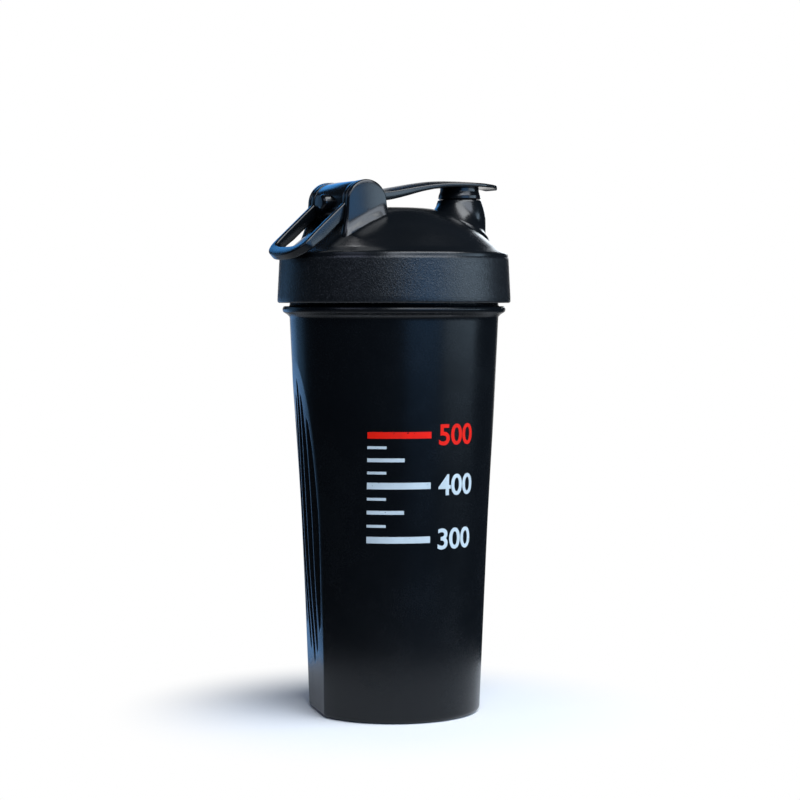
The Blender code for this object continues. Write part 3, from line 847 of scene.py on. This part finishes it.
def marks_tree():
    """Level marks up the cup: every fourth is long, every second is middling, the rest are short."""
    tree, given = shape_tree("level marks", [
        ("First", "Int", 0), ("Count", "Int", 9), ("First height", "Float", 0.075), ("Step", "Float", 0.005),
        ("Closing", "Float", 0.0), ("Left", "Float", -0.022), ("Long", "Float", 0.0265),
        ("Thickness", "Float", 0.0027), ("Taper", "Float", 0.0463), ("Foot radius", "Float", 0.0365),
        ("Aim", "Float", 0.0), ("Lift", "Float", 0.00006), ("Material", "Material", None),
    ])
    times, plus, minus = sums(tree)
    points = out(tree, "GeometryNodePoints", {"Count": given["Count"]})
    index = plus(out(tree, "GeometryNodeInputIndex"), given["First"])
    fourth, second = (maths(tree, "COMPARE", maths(tree, "MODULO", index, every), 0.0, 0.1)
                      for every in (4.0, 2.0))
    size, thick = (plus(least, maths(tree, "MULTIPLY_ADD", fourth, most, times(second, more)))
                   for least, more, most in (MARK_SIZES, MARK_THICKS))
    squeeze = minus(1.0, times(given["Closing"], index))
    up = plus(given["First height"], times(times(given["Step"], index), squeeze))
    wide = times(given["Long"], size)
    spot = xyz(tree, maths(tree, "MULTIPLY_ADD", wide, 0.5, given["Left"]), z=up)
    placed = out(tree, "GeometryNodeSetPosition", {"Geometry": points, "Position": spot})
    block = out(tree, "GeometryNodeMeshCube", {
        "Size": (1.0, 1.0, 1.0), "Vertices X": 25, "Vertices Y": 2, "Vertices Z": 3})
    form = xyz(tree, wide, times(given["Lift"], 2.0), times(given["Thickness"], thick))
    marks = out(tree, "GeometryNodeInstanceOnPoints", {"Points": placed, "Instance": block, "Scale": form})
    real = out(tree, "GeometryNodeRealizeInstances", {0: marks})
    close_tree(tree, wrap_on_cup(tree, real, given), given["Material"])
    return tree


def numeral(cup, name, text, middle_height, aim):
    """A number that lies on the cup."""
    words = bpy.data.curves.new(name, "FONT")
    words.body = text
    words.size = NUMERAL_TALL / DIGIT_SHARE
    words.extrude = PRINT_LIFT
    words.offset = DIGIT_FATTER
    words.align_y = "CENTER"
    flat = show(name, words)
    mesh = as_mesh(flat)
    bpy.data.objects.remove(flat, do_unlink=True)
    edit = bmesh.new()
    edit.from_mesh(mesh)
    bmesh.ops.remove_doubles(edit, verts=edit.verts, dist=JOIN)
    bmesh.ops.triangulate(edit, faces=edit.faces)
    for _ in range(3):
        long = [e for e in edit.edges if e.calc_length() > PRINT_EDGE]
        bmesh.ops.subdivide_edges(edit, edges=long, cuts=1)
        bmesh.ops.triangulate(edit, faces=[f for f in edit.faces if len(f.verts) > 3])
    low = min(v.co.y for v in edit.verts)
    high = max(v.co.y for v in edit.verts)
    left = min(v.co.x for v in edit.verts)
    for vert in edit.verts:
        z = middle_height * MM + vert.co.y - (low + high) / 2
        wall = wall_radius(cup, z / MM) * MM
        turn = aim + (vert.co.x - left + NUMERAL_LEFT) / wall
        far = wall + vert.co.z
        vert.co = (far * cos(turn), far * sin(turn), z)
    bmesh.ops.recalc_face_normals(edit, faces=edit.faces)
    edit.to_mesh(mesh)
    edit.free()
    return show(name, mesh)


class SHAKER_OT_print(bpy.types.Operator):
    """Print the measuring scale on the cup"""

    bl_idname = "shaker.print"
    bl_label = "Measuring scale"

    def execute(self, context):
        cup, aim = in_mm("shaker_cup"), in_mm("shaker_print").aim
        last = MARKS - 1
        low, second, high = (height_of(cup, FIRST_MARK_ML + MARK_STEP_ML * i) for i in (0, 1, last))
        closing = (1 - (high - low) / ((second - low) * last)) / last
        tree = marks_tree()
        shared = {"First height": low * MM, "Step": (second - low) * MM, "Closing": closing,
                  "Left": MARKS_LEFT, "Taper": cup.taper, "Foot radius": cup.foot_radius * MM, "Aim": aim,
                  "Lift": PRINT_LIFT}
        for name, ink, first, count in LEVEL_MARKS:
            marks = grow(name, tree, {**shared, "First": first, "Count": count, "Material": surface(ink)})
            finish_piece(marks, "cup", ink, "cup_plastic")
        for volume, ink in NUMBERS:
            number = numeral(cup, f"number_{volume}", str(volume), height_of(cup, volume), aim)
            finish_piece(number, "cup", ink, "cup_plastic")
        return {"FINISHED"}


# ---------------------------------------------------------------- lid


DOME = [(47.2, 194.6), (45.6, 195.45), (44.2, 196.3), (42.6, 197.55), (40.4, 199.35), (37.0, 202.1),
        (32.0, 205.7), (27.0, 208.75), (22.0, 211.3), (18.6, 212.5), (15.0, 213.15), (10.0, 213.5),
        (5.0, 213.58), (0.0, 213.6)]
DOME_LINE = flowing(DOME, 74)


def dome_height(radius):
    return float(np.interp(radius, DOME_LINE[::-1, 0], DOME_LINE[::-1, 1]))


SHELL_STEPS = 224
HOLLOW_STEPS = 128
HINGE_STEPS = 128  # sides of the barrel, of the eyes and of the cuts round them
# Radius and half length of the round cuts along the hinge line
POCKET = (9.5, 15.9)  # the barrel turns in it
GROOVE = (12.7, 3.9)  # the knob sweeps through it
POCKET_SKIN = (11.5, 17.9)  # the dome's wall round the pocket reaches this far
GROOVE_SKIN = (14.6, 5.8)
# Shares of the way from the dome to the lip at which the spout has a ring
SPOUT_SHARES = (-0.14, -0.07, 0.0, 0.02, 0.045, 0.075, 0.11, 0.155, 0.21, 0.28, 0.37, 0.47, 0.58, 0.69, 0.8,
                0.9, 0.97)
SPOUT_STEPS = 96
SPOUT_BELLY = 2.0
FLARE_AIM = -2.0  # radians from the spout's side to where its foot spreads most
PIN_STEPS = 48  # sides of the pins and of the holes round them


def under_spout(lid):
    """Moves a turned shape from the bottle's axis to the spout's."""
    return Matrix.Translation((lid.spout_place, 0, 0))


def lid_shell(lid):
    """The skirt and the dome, hollow, with the pocket that the hinge barrel turns in."""
    low, top, bore = lid.skirt_foot, lid.shoulder, lid.bore_radius
    outside = soft([(bore, low + 0.2), (lid.skirt_radius, low, 0.9), (lid.skirt_radius - 0.05, 176.0, 5.0),
                    (lid.shoulder_radius + 0.05, 191.5, 4.0), (lid.shoulder_radius - 0.35, top - 0.1, 1.7),
                    (47.6, 194.35, 0.7), DOME[0]], 6)[1:]
    line = [(0.0, low), *outside, *[tuple(p) for p in DOME_LINE[1:]]]
    line[-1] = (0.0, line[-1][1])
    shell = piece("lid_shell", *turned(line, SHELL_STEPS))
    inside = [(0.0, low - 2.0), (bore + 1.1, low - 2.0), (bore + 1.1, low + 0.5)]
    inside += soft([(bore, low + 1.6), (bore, lid.ceiling, 0.4), (42.0, lid.ceiling, 0.4),
                    (41.9, 183.4, 0.7), (40.2, 183.4, 0.7), (39.9, 197.0)], 4)
    inside += [(r, z - lid.dome_wall) for r, z in DOME_LINE if r < 39.0]
    inside[-1] = (0.0, inside[-1][1])
    hollow = piece("lid_hollow", *turned(inside, HOLLOW_STEPS))
    bore_line = [(0, 190.0), (lid.spout_bore, 190.0), (lid.spout_bore, 221.0), (0, 221.0)]
    spout_hole = piece("spout_hole", *turned(bore_line, 64), place=under_spout(lid))
    carve(hollow, [("DIFFERENCE", hinge_bar("trough", *POCKET_SKIN)),
                   ("DIFFERENCE", hinge_bar("knob_trough", *GROOVE_SKIN)), ("UNION", spout_hole)])
    return carve(shell, [("DIFFERENCE", hinge_bar("pocket", *POCKET, HINGE_STEPS)),
                         ("DIFFERENCE", hinge_bar("groove", *GROOVE, HINGE_STEPS)), ("DIFFERENCE", hollow)])


def spout(lid):
    """The spout, which flares into the dome, with its lip and its bore."""
    rings = []
    for part in SPOUT_SHARES:
        ring = []
        for i in range(SPOUT_STEPS):
            a = tau * i / SPOUT_STEPS
            reach = lid.spout_radius + SPOUT_BELLY
            foot = dome_height(hypot(lid.spout_place + reach * cos(a), reach * sin(a)))
            z = foot + part * (lid.spout_top - foot)
            belly = sin(pi / 2 * min(1.0, (lid.spout_top - z) / 9.0)) * SPOUT_BELLY
            up = max(0.0, z - foot)
            # The foot spreads further and higher on one side.
            more = max(0.0, cos(a - FLARE_AIM))
            flare = (2.3 + 2.6 * more) * max(0.0, 1 - up / (4.2 + 3.6 * more)) ** (2.6 - 0.8 * more)
            radius = lid.spout_radius + belly + flare
            x, y = lid.spout_place + radius * cos(a), radius * sin(a)
            if part <= 0.02:
                z = min(z, dome_height(hypot(x, y)) - 0.06 + 0.3 * min(0.0, z - foot))
            ring.append((x, y, z))
        rings.append(ring)
    lip = soft([(lid.spout_radius + 0.12, lid.spout_top - 0.55), (lid.spout_radius, lid.spout_top, 0.45),
                (lid.spout_bore, lid.spout_top, 0.35), (lid.spout_bore, 204.0)], 5)[1:]
    rings += [circle(radius, z, SPOUT_STEPS, lid.spout_place) for radius, z in lip]
    return piece("spout", *loft(rings, round_again=True), crease=60.0)


EAR_EDGE = 1.1  # rounding of an ear's outer edge
EAR_CROWN = 0.5  # how far its outer face stands out in the middle
EAR_FLARE = 1.5  # how far its foot spreads onto the dome
EAR_FLARE_UP = 5.0  # and how high above the dome that begins
EAR_SOCKET = (3.2, 17.5)  # radius, and how far from the middle the pins' blind holes end
# How far its back and front edges lean out at the drops below the hinge line
EAR_DROPS = (-2.5, -5.0, -7.5, -10.0, -12.5, -15.0, -18.0)
EAR_BACK = (0.15, 0.4, 0.8, 1.35, 2.1, 2.9, 3.8)
EAR_FRONT = (0.15, 0.4, 0.75, 1.1, 1.6, 2.1, 2.6)


def ear_outline(lid, inset, count=28):
    """The upright D of a hinge ear in X and Z, drawn in by an inset, with its foot sunk in the dome."""
    radius = lid.ear_radius - inset
    aims = [pi * i / count for i in range(count + 1)]
    line = [(radius * cos(a), radius * sin(a)) for a in aims]
    line += [(-radius - lean, drop) for lean, drop in zip(EAR_BACK, EAR_DROPS, strict=True)]
    line += [(radius + lean, drop) for lean, drop in zip(EAR_FRONT[::-1], EAR_DROPS[::-1], strict=True)]
    return [(HINGE.x + x, HINGE.z + z) for x, z in line]


def ear(lid, side):
    """One hinge ear: it leans out at its foot, its edge is rounded and its outer face is a shallow crown."""
    thick = lid.ear_out - lid.ear_in
    flat = thick - EAR_EDGE - EAR_CROWN
    layers = [(0.25, 0.0), (0.0, 0.25), (0.0, 0.6 * flat), (0.0, flat)]
    layers += [(EAR_EDGE * (1 - cos(a)), flat + EAR_EDGE * sin(a))
               for a in [radians(78) * i / 7 for i in range(1, 8)]]
    rings = [ear_ring(lid, side, ear_outline(lid, inset), deep) for inset, deep in layers]
    rim_inset, rim_deep = layers[-1]
    rim = ear_outline(lid, rim_inset)
    for k in range(1, 13):
        draw = k / 13
        inner = [(x + (HINGE.x - x) * draw, z + (HINGE.z - 4.0 - z) * draw) for x, z in rim]
        crown = (thick - rim_deep) * sin(pi / 2 * draw) ** 0.8
        rings.append(ear_ring(lid, side, inner, rim_deep + crown))
    made = piece(f"hinge_ear_{'near' if side < 0 else 'far'}", *loft(rings), crease=50.0)
    return carve(made, [("DIFFERENCE", hinge_bar("socket", *EAR_SOCKET, PIN_STEPS))])


def ear_ring(lid, side, outline, deep):
    """One ring of an ear, drawn at a depth out from the inner face. The outer face flares onto the dome."""
    share_out = deep / (lid.ear_out - lid.ear_in)
    ring = []
    for x, z in outline:
        y = lid.ear_in + deep * (1 + 0.02 * max(0.0, HINGE.z - z))
        sunk = dome_height(hypot(x, y)) - 1.0
        z = max(z, sunk)
        up = z - dome_height(hypot(x, y))
        y += EAR_FLARE * share_out**2 * max(0.0, 1 - max(0.0, up) / EAR_FLARE_UP) ** 2.2
        ring.append((x, side * y, z))
    return ring


class SHAKER_OT_lid(bpy.types.Operator):
    """Make the screw lid: shell, spout, hinge ears and inner thread"""

    bl_idname = "shaker.lid"
    bl_label = "Screw lid"

    def execute(self, context):
        lid = in_mm("shaker_lid")
        finish_piece(lid_shell(lid), "lid", "lid_satin", "lid_plastic", "screw_lid")
        finish_piece(spout(lid), "lid", "lid_satin", "lid_plastic")
        for side in (-1, 1):
            finish_piece(ear(lid, side), "lid", "cap_gloss", "lid_plastic")
        add_thread("lid_thread", "lid", "lid_satin", "lid_plastic", lid.bore_radius + 0.1, *SKIRT_THREAD)
        return {"FINISHED"}


class SHAKER_OT_seal(bpy.types.Operator):
    """Make the seal ring between the rim and the lid"""

    bl_idname = "shaker.seal"
    bl_label = "Seal ring"

    def execute(self, context):
        outer = SEAL_BOX[1].x / MM
        low, high = SEAL_BOX[0].z / MM, SEAL_BOX[1].z / MM
        line = soft([(42.4, low + 1.3), (42.4, low + 0.5, 0.3), (43.1, low, 0.4), (43.8, low, 0.3),
                     (44.3, low + 0.5, 0.4), (outer - 0.2, low + 0.65, 0.3), (outer, high, 0.4),
                     (42.4, high, 0.4), (42.4, low + 1.3)], 4)[:-1]
        ring = piece("seal_ring", *turned(line, 160, round_again=True))
        finish_piece(ring, "seal", "seal_silicone", "seal_silicone", "lid_seal")
        return {"FINISHED"}


# ---------------------------------------------------------------- flip cap


# Place along X, half width, height of the crown, of the edge and of the underside
ARM = [
    (-20.0, 12.2, 221.9, 220.9, 215.4), (-14.0, 12.1, 221.0, 220.0, 215.8), (-8.0, 11.7, 221.2, 220.2, 216.4),
    (0.0, 11.0, 222.5, 221.5, 218.2), (8.0, 10.7, 223.9, 222.9, 220.3), (16.0, 10.8, 225.0, 224.0, 221.8),
    (24.0, 11.1, 225.4, 224.6, 222.6), (32.0, 11.2, 225.3, 224.7, 222.9), (38.0, 10.6, 225.0, 224.6, 222.9),
    (42.0, 9.2, 224.7, 224.4, 222.8), (45.0, 7.9, 224.4, 224.2, 222.7), (47.0, 6.6, 224.2, 224.0, 222.4),
    (48.0, 5.2, 223.8, 223.6, 222.0), (48.3, 4.4, 223.4, 223.2, 221.9),
]
ARM_WALL = 1.7


def arm_section(x, half, crown, edge, low):
    """One section of the arm: a crowned top with soft edges and, along the middle, a channel below."""
    soft_edge = min(0.8, 0.4 * (edge - low))
    side = []
    for i in range(7):
        a = pi / 2 * i / 6
        side.append((half - soft_edge * (1 - cos(a)), edge - soft_edge * (1 - sin(a)) - 0.1))
    shares = [2 * i / 24 - 1 for i in range(1, 24)]
    top = [(s * (half - soft_edge), crown - (crown - edge + 0.1) * s * s) for s in shares]
    hollow = max(0.0, min(1.0, (x + 14.0) / 5.0, (21.0 - x) / 4.0))
    ceiling = low + hollow * max(0.0, min(edge - 1.6 - low, 4.0))
    inner = half - ARM_WALL
    below = [(half, low + 0.3), (half - 0.1, low + 0.1), (half - 0.3, low), (inner + 0.2, low),
             (inner, low + min(0.2, ceiling - low)), (inner - 0.25, ceiling)]
    ring = mirrored(side) + top + side[::-1] + below + mirrored(below[::-1])
    return [(x, y, z) for y, z in ring]


def mirrored(points):
    """The same points on the other side of the middle."""
    return [(-y, z) for y, z in points]


def cap_arm(cap):
    rows = flowing(ARM, 84)
    rows[:, 0] = np.minimum(rows[:, 0], cap.tab_end)
    rows[:, 2] = np.minimum(rows[:, 2], CAP_BOX[1].z / MM)
    return piece("cap_arm", *loft([arm_section(*row) for row in rows]), crease=50.0)


def cap_knob(cap):
    """The round knob on the barrel: a short neck under a ball's end."""
    neck, ball, reach = cap.knob_radius - 0.5, cap.knob_radius, cap.knob_reach
    line = soft([(0, 5.0), (neck, 5.0), (neck, 8.3, 0.3), (ball, 8.9, 0.4), (ball, reach, ball - 0.05),
                 (0.0, reach)], 12)
    aim = Matrix.Translation(HINGE) @ Matrix.Rotation(radians(-90), 4, "Y")
    return piece("cap_knob", *turned(line, 48), place=aim, crease=50.0)


def cap_plug(cap, lid):
    """The plug that seals the spout, under a collar that rests on the lip."""
    r, z, top = cap.plug_radius, cap.plug_foot, lid.spout_top
    line = soft([(0, 218.6), (5.7, 218.6), (5.7, z + 0.2, 0.2), (6.2, z, 0.3), (6.8, z, 0.3),
                 (r, z + 1.1, 0.4), (r, z + 2.0, 0.3), (r - 0.25, z + 2.8, 0.4), (r - 0.25, top + 0.3, 0.2),
                 (8.8, top + 0.3, 0.3), (9.15, top + 0.8, 0.3), (9.0, 219.4, 0.8), (8.4, 221.0, 1.0),
                 (8.2, 223.4), (0, 223.4)], 4)
    return piece("cap_plug", *turned(line, 96), place=under_spout(lid))


class SHAKER_OT_cap(bpy.types.Operator):
    """Make the flip cap: barrel, trunnions, arm, knob and plug"""

    bl_idname = "shaker.cap"
    bl_label = "Flip cap"

    def execute(self, context):
        cap, lid = in_mm("shaker_cap"), in_mm("shaker_lid")
        barrel = hinge_bar("cap_barrel", cap.barrel_radius, cap.barrel_half, HINGE_STEPS, edge=0.5)
        finish_piece(barrel, "flip_cap", "cap_gloss", "cap_plastic", "flip_cap")
        pins = hinge_bar("cap_trunnions", cap.trunnion_radius, cap.trunnion_half, PIN_STEPS, edge=0.4)
        for made in (pins, cap_arm(cap), cap_knob(cap), cap_plug(cap, lid)):
            finish_piece(made, "flip_cap", "cap_gloss", "cap_plastic")
        return {"FINISHED"}


# ---------------------------------------------------------------- carry loop


TIP_INSET = 2.7  # from the loop's tip to the middle line of its band
BEND_FROM = 29.5  # from the hinge line to where the band begins to bend
SWELL_FROM = 24.0  # and to where it begins to broaden


def loop_mesh(loop):
    """The band of the loop, which is broader at its squarish end."""
    middle = (loop.eye_in + loop.eye_out) / 2
    end = loop.reach - TIP_INSET
    half = [(s, -middle) for s in np.linspace(3.0, 25.5, 16)]
    for i in range(25):
        a = pi / 2 * i / 24
        half.append((BEND_FROM + (end - BEND_FROM) * sin(a) ** 0.86, -middle * cos(a) ** 0.72))
    path = half + [(a, -y) for a, y in reversed(half[:-1])]
    rings = []
    for i, (along, y) in enumerate(path):
        a0, y0 = path[max(i - 1, 0)]
        a1, y1 = path[min(i + 1, len(path) - 1)]
        far = hypot(a1 - a0, y1 - y0)
        side = ((y1 - y0) / far, -(a1 - a0) / far)
        tip = max(0.0, (along - SWELL_FROM) / (end - SWELL_FROM))
        thick = (loop.eye_out - loop.eye_in) / 2 + 1.15 * tip**2
        low, high = loop.band_low + 1.3 * tip, loop.band_high - 0.2 * tip
        section = soft([(0.0, low), (thick, low, 0.8), (thick, high, 0.8), (-thick, high, 0.8),
                        (-thick, low, 0.8), (0.0, low)], 5)[:-1]
        rings.append([loop_place(loop, along + s * side[0], y + s * side[1], h) for s, h in section])
    return loft(rings)


def loop_place(loop, along, y, high):
    """A place down along the loop's slope, across it and up from it."""
    return (HINGE.x - along * cos(loop.drop) - high * sin(loop.drop), y,
            HINGE.z - along * sin(loop.drop) + high * cos(loop.drop))


class SHAKER_OT_loop(bpy.types.Operator):
    """Make the carry loop and its two eyes"""

    bl_idname = "shaker.loop"
    bl_label = "Carry loop"

    def execute(self, context):
        loop, lid = in_mm("shaker_loop"), in_mm("shaker_lid")
        half = (loop.eye_out - loop.eye_in) / 2
        eye = partial(hinge_bar, radius=lid.ear_radius - 0.1, half=half, steps=HINGE_STEPS, edge=0.45)
        made = [(piece("loop_band", *loop_mesh(loop), crease=50.0), "carry_loop")]
        made += [(eye("loop_eye_near", middle=-loop.eye_in - half),)]
        made += [(eye("loop_eye_far", middle=loop.eye_in + half),)]
        for part, *stands_for in made:
            carve(part, [("DIFFERENCE", hinge_bar("bore", loop.bore_radius, 20.0, PIN_STEPS))])
            finish_piece(part, "carry_loop", "loop_gloss", "loop_plastic", *stands_for)
        return {"FINISHED"}


# ---------------------------------------------------------------- whisk ball


BALL_GAP = 0.35  # between the cup's floor and the ball
STEPS_A_TURN = 48


def wire_tree():
    """One wire wound from pole to pole over a ball."""
    tree, given = shape_tree("wound wire", [
        ("Ball radius", "Float", 0.025), ("Wire radius", "Float", 0.00095), ("Turns", "Float", 8.0),
        ("Points", "Int", 385), ("End", "Float", 1.34), ("Tilt", "Float", 0.42), ("Height", "Float", 0.0277),
        ("Material", "Material", None),
    ])
    times, _, minus = sums(tree)
    line = out(tree, "GeometryNodeMeshLine", {"Count": given["Points"]})
    path = out(tree, "GeometryNodeMeshToCurve", {"Mesh": line})
    part = maths(tree, "DIVIDE", out(tree, "GeometryNodeInputIndex"), minus(given["Points"], 1.0))
    rise = times(given["End"], maths(tree, "MULTIPLY_ADD", part, 2.0, -1.0))
    turn = times(times(part, given["Turns"]), tau)
    far = minus(given["Ball radius"], given["Wire radius"])
    level, up = polar(tree, far, rise)
    spot = xyz(tree, *polar(tree, level, turn), up)
    wound = out(tree, "GeometryNodeSetPosition", {"Geometry": path, "Position": spot})
    move, spin = xyz(tree, z=given["Height"]), xyz(tree, given["Tilt"])
    placed = out(tree, "GeometryNodeTransform", {"Geometry": wound, "Translation": move, "Rotation": spin})
    section = wire_section(tree, given["Wire radius"])
    wire = out(tree, "GeometryNodeCurveToMesh", {
        "Curve": placed, "Profile Curve": section, "Fill Caps": True})
    close_tree(tree, wire, given["Material"])
    return tree


class SHAKER_OT_ball(bpy.types.Operator):
    """Make the whisk ball of wound wire"""

    bl_idname = "shaker.ball"
    bl_label = "Whisk ball"

    def execute(self, context):
        ball, cup = in_mm("shaker_ball"), in_mm("shaker_cup")
        wire = grow("whisk_wire", wire_tree(), {
            "Ball radius": ball.radius * MM, "Wire radius": ball.wire * MM, "Turns": float(ball.turns),
            "Points": ball.turns * STEPS_A_TURN + 1, "End": ball.end_rise, "Tilt": ball.tilt,
            "Height": (cup.floor + BALL_GAP + ball.radius) * MM, "Material": surface("whisk_steel"),
        }, crease=60.0)
        finish_piece(wire, "whisk", "whisk_steel", "whisk_steel", "whisk_ball")
        return {"FINISHED"}


# ---------------------------------------------------------------- stage


FLOOR_REACH = 0.128  # radius of the floor, in metres
FLOOR_CLEAR = 0.05  # radius at which it begins to fade
FLOOR_COLOUR = (0.85, 0.85, 0.85)
WHITE = (1.0, 1.0, 1.0)
ROOM = (0.02, 0.026, 0.035)
ROOM_BELOW = (0.30, 0.33, 0.37)
LAMP_AIM = Vector((0.0, 0.0, 0.12))
LAMP_DISTANCE = 1.2
# Name, degrees from the camera round to the right, degrees above level, width and height, level, tint
LAMPS = (
    ("key", 46, 61, (1.35, 0.6), 6.2, (0.92, 0.96, 1.0)),
    ("pale_high", 30, 36, (1.5, 0.4), 5.2, (0.8, 0.88, 1.0)),
    ("blue_right", 33, 9, (0.86, 0.46), 2.6, (0.2, 0.5, 1.0)),
    ("pale_right", 78, 9, (0.95, 0.46), 3.6, (0.6, 0.8, 1.0)),
    ("rim_right", 165, 15, (0.25, 0.3), 3.0, (0.86, 0.93, 1.0)),
    ("blue_back", -164, 26, (0.5, 0.3), 1.9, (0.08, 0.4, 1.0)),
    ("blue_left", -130, 6, (0.5, 0.7), 0.5, (0.24, 0.55, 1.0)),
    ("blue_low", -150, -8, (0.5, 0.4), 1.15, (0.24, 0.52, 1.0)),
    ("pale_left", -46, 34, (0.6, 0.3), 2.4, (0.68, 0.74, 1.0)),
    ("small_left", -146, 64, (0.12, 0.12), 5.0, (0.96, 0.97, 1.0)),
)


def camera(stage):
    lens = bpy.data.cameras.new("camera")
    lens.lens = stage.lens
    lens.sensor_width = 36.0
    lens.clip_start = 0.01
    lens.clip_end = 50.0
    made = show("camera", lens)
    far, turn = stage.distance * MM, stage.azimuth
    made.location = (far * sin(turn), -far * cos(turn), stage.height * MM)
    made.rotation_euler = (pi / 2 - stage.tilt, 0.0, turn - stage.pan)
    bpy.context.scene.camera = made


def lamp(stage, name, side, rise, size, level, tint):
    """A soft rectangular lamp that looks at the bottle. The level is how bright its own face is, where 1 is
    white."""
    light = bpy.data.lights.new(name, "AREA")
    light.shape = "RECTANGLE"
    light.size, light.size_y = size
    light.energy = level * pi * size[0] * size[1]
    light.color = tint
    made = show(name, light)
    turn, up = stage.azimuth - pi / 2 + radians(side), radians(rise)
    aim = Vector((cos(up) * cos(turn), cos(up) * sin(turn), sin(up)))
    made.location = LAMP_AIM + aim * LAMP_DISTANCE
    made.rotation_euler = aim.to_track_quat("Z", "Y").to_euler()
    made.visible_camera = False


def floor():
    """A round pale floor that keeps the bottle's shadow and fades into the white around it."""
    pale, tree, shader, place = surface_tree("pale_floor")
    base = mixed(tree, noise(tree, place, 3.0), FLOOR_COLOUR, toned(FLOOR_COLOUR, 0.98))
    tree.links.new(base, shader.inputs["Base Color"])
    shader.inputs["Roughness"].default_value = 0.9
    shader.inputs["Specular IOR Level"].default_value = 0.0
    reach = out(tree, "ShaderNodeVectorMath", {0: place}, "Value", operation="LENGTH")
    fade = span(tree, reach, FLOOR_CLEAR, FLOOR_REACH - 0.003, interpolation_type="SMOOTHSTEP")
    white = out(tree, "ShaderNodeEmission", {"Color": (*WHITE, 1.0), "Strength": 1.0})
    seen = maths(tree, "MULTIPLY", fade, out(tree, "ShaderNodeLightPath", pick="Is Camera Ray"))
    cover = out(tree, "ShaderNodeMixShader", {0: seen, 1: shader.outputs[0], 2: white})
    tree.links.new(cover, tree.nodes["Material Output"].inputs["Surface"])
    mesh = bpy.data.meshes.new("floor")
    ring = circle(FLOOR_REACH, 0.0, 96)
    mesh.from_pydata(ring, [], [tuple(range(len(ring)))])
    mesh.materials.append(pale)
    show("floor", mesh)


def sky(stage):
    """A dim, slightly blue room that is paler towards its floor. It is white where the camera looks, and
    where gloss mirrors the wall behind the bottle."""
    world = bpy.data.worlds.new("sky")
    bpy.context.scene.world = world
    world.use_nodes = True
    tree = world.node_tree
    rays = add(tree, "ShaderNodeLightPath").outputs
    ray = out(tree, "ShaderNodeTexCoord", pick="Generated")
    behind = (-sin(stage.azimuth), cos(stage.azimuth), 0.0)
    facing = out(tree, "ShaderNodeVectorMath", {0: ray, 1: behind}, "Value", operation="DOT_PRODUCT")
    wall = span(tree, facing, cos(radians(18)), cos(radians(12)))
    mirror_ray = maths(tree, "MAXIMUM", rays["Is Glossy Ray"], rays["Is Transmission Ray"])
    seen = maths(tree, "MAXIMUM", rays["Is Camera Ray"], maths(tree, "MULTIPLY", mirror_ray, wall))
    room = mixed(tree, span(tree, parts(tree, ray)["Z"], -0.30, -0.46), ROOM, ROOM_BELOW)
    back = tree.nodes["Background"]
    tree.links.new(mixed(tree, seen, room, WHITE), back.inputs["Color"])
    back.inputs["Strength"].default_value = 1.0


class SHAKER_OT_stage(bpy.types.Operator):
    """Set the camera, the floor and the lamps"""

    bl_idname = "shaker.stage"
    bl_label = "Stage"

    def execute(self, context):
        stage = in_mm("shaker_stage")
        camera(stage)
        floor()
        sky(stage)
        for row in LAMPS:
            lamp(stage, *row)
        bpy.context.scene.view_settings.view_transform = "Standard"
        return {"FINISHED"}


# ---------------------------------------------------------------- panel


OPERATORS = (SHAKER_OT_stage, SHAKER_OT_cup, SHAKER_OT_print, SHAKER_OT_lid, SHAKER_OT_seal, SHAKER_OT_cap,
             SHAKER_OT_loop, SHAKER_OT_ball)


class SHAKER_PT_pieces(bpy.types.Panel):
    """The bottle's sizes, and a button for each piece"""

    bl_label = "Shaker bottle"
    bl_idname = "SHAKER_PT_pieces"
    bl_space_type = "VIEW_3D"
    bl_region_type = "UI"
    bl_category = "Shaker"

    def draw(self, context):
        for name, group in GROUPS.items():
            box = self.layout.box()
            box.label(text=group.__doc__)
            for key in group.__annotations__:
                box.prop(getattr(context.scene, name), key)
        for kind in OPERATORS:
            self.layout.operator(kind.bl_idname)


def register():
    for group in GROUPS.values():
        bpy.utils.register_class(group)
    for name, group in GROUPS.items():
        setattr(bpy.types.Scene, name, bpy.props.PointerProperty(type=group))
    for kind in (*OPERATORS, SHAKER_PT_pieces):
        bpy.utils.register_class(kind)


def unregister():
    for kind in (SHAKER_PT_pieces, *reversed(OPERATORS)):
        bpy.utils.unregister_class(kind)
    for name, group in GROUPS.items():
        delattr(bpy.types.Scene, name)
        bpy.utils.unregister_class(group)


def main():
    register()
    bpy.ops.shaker.stage()
    bpy.ops.shaker.cup()
    bpy.ops.shaker.print()
    bpy.ops.shaker.lid()
    bpy.ops.shaker.seal()
    bpy.ops.shaker.cap()
    bpy.ops.shaker.loop()
    bpy.ops.shaker.ball()


if __name__ == "__main__":
    main()
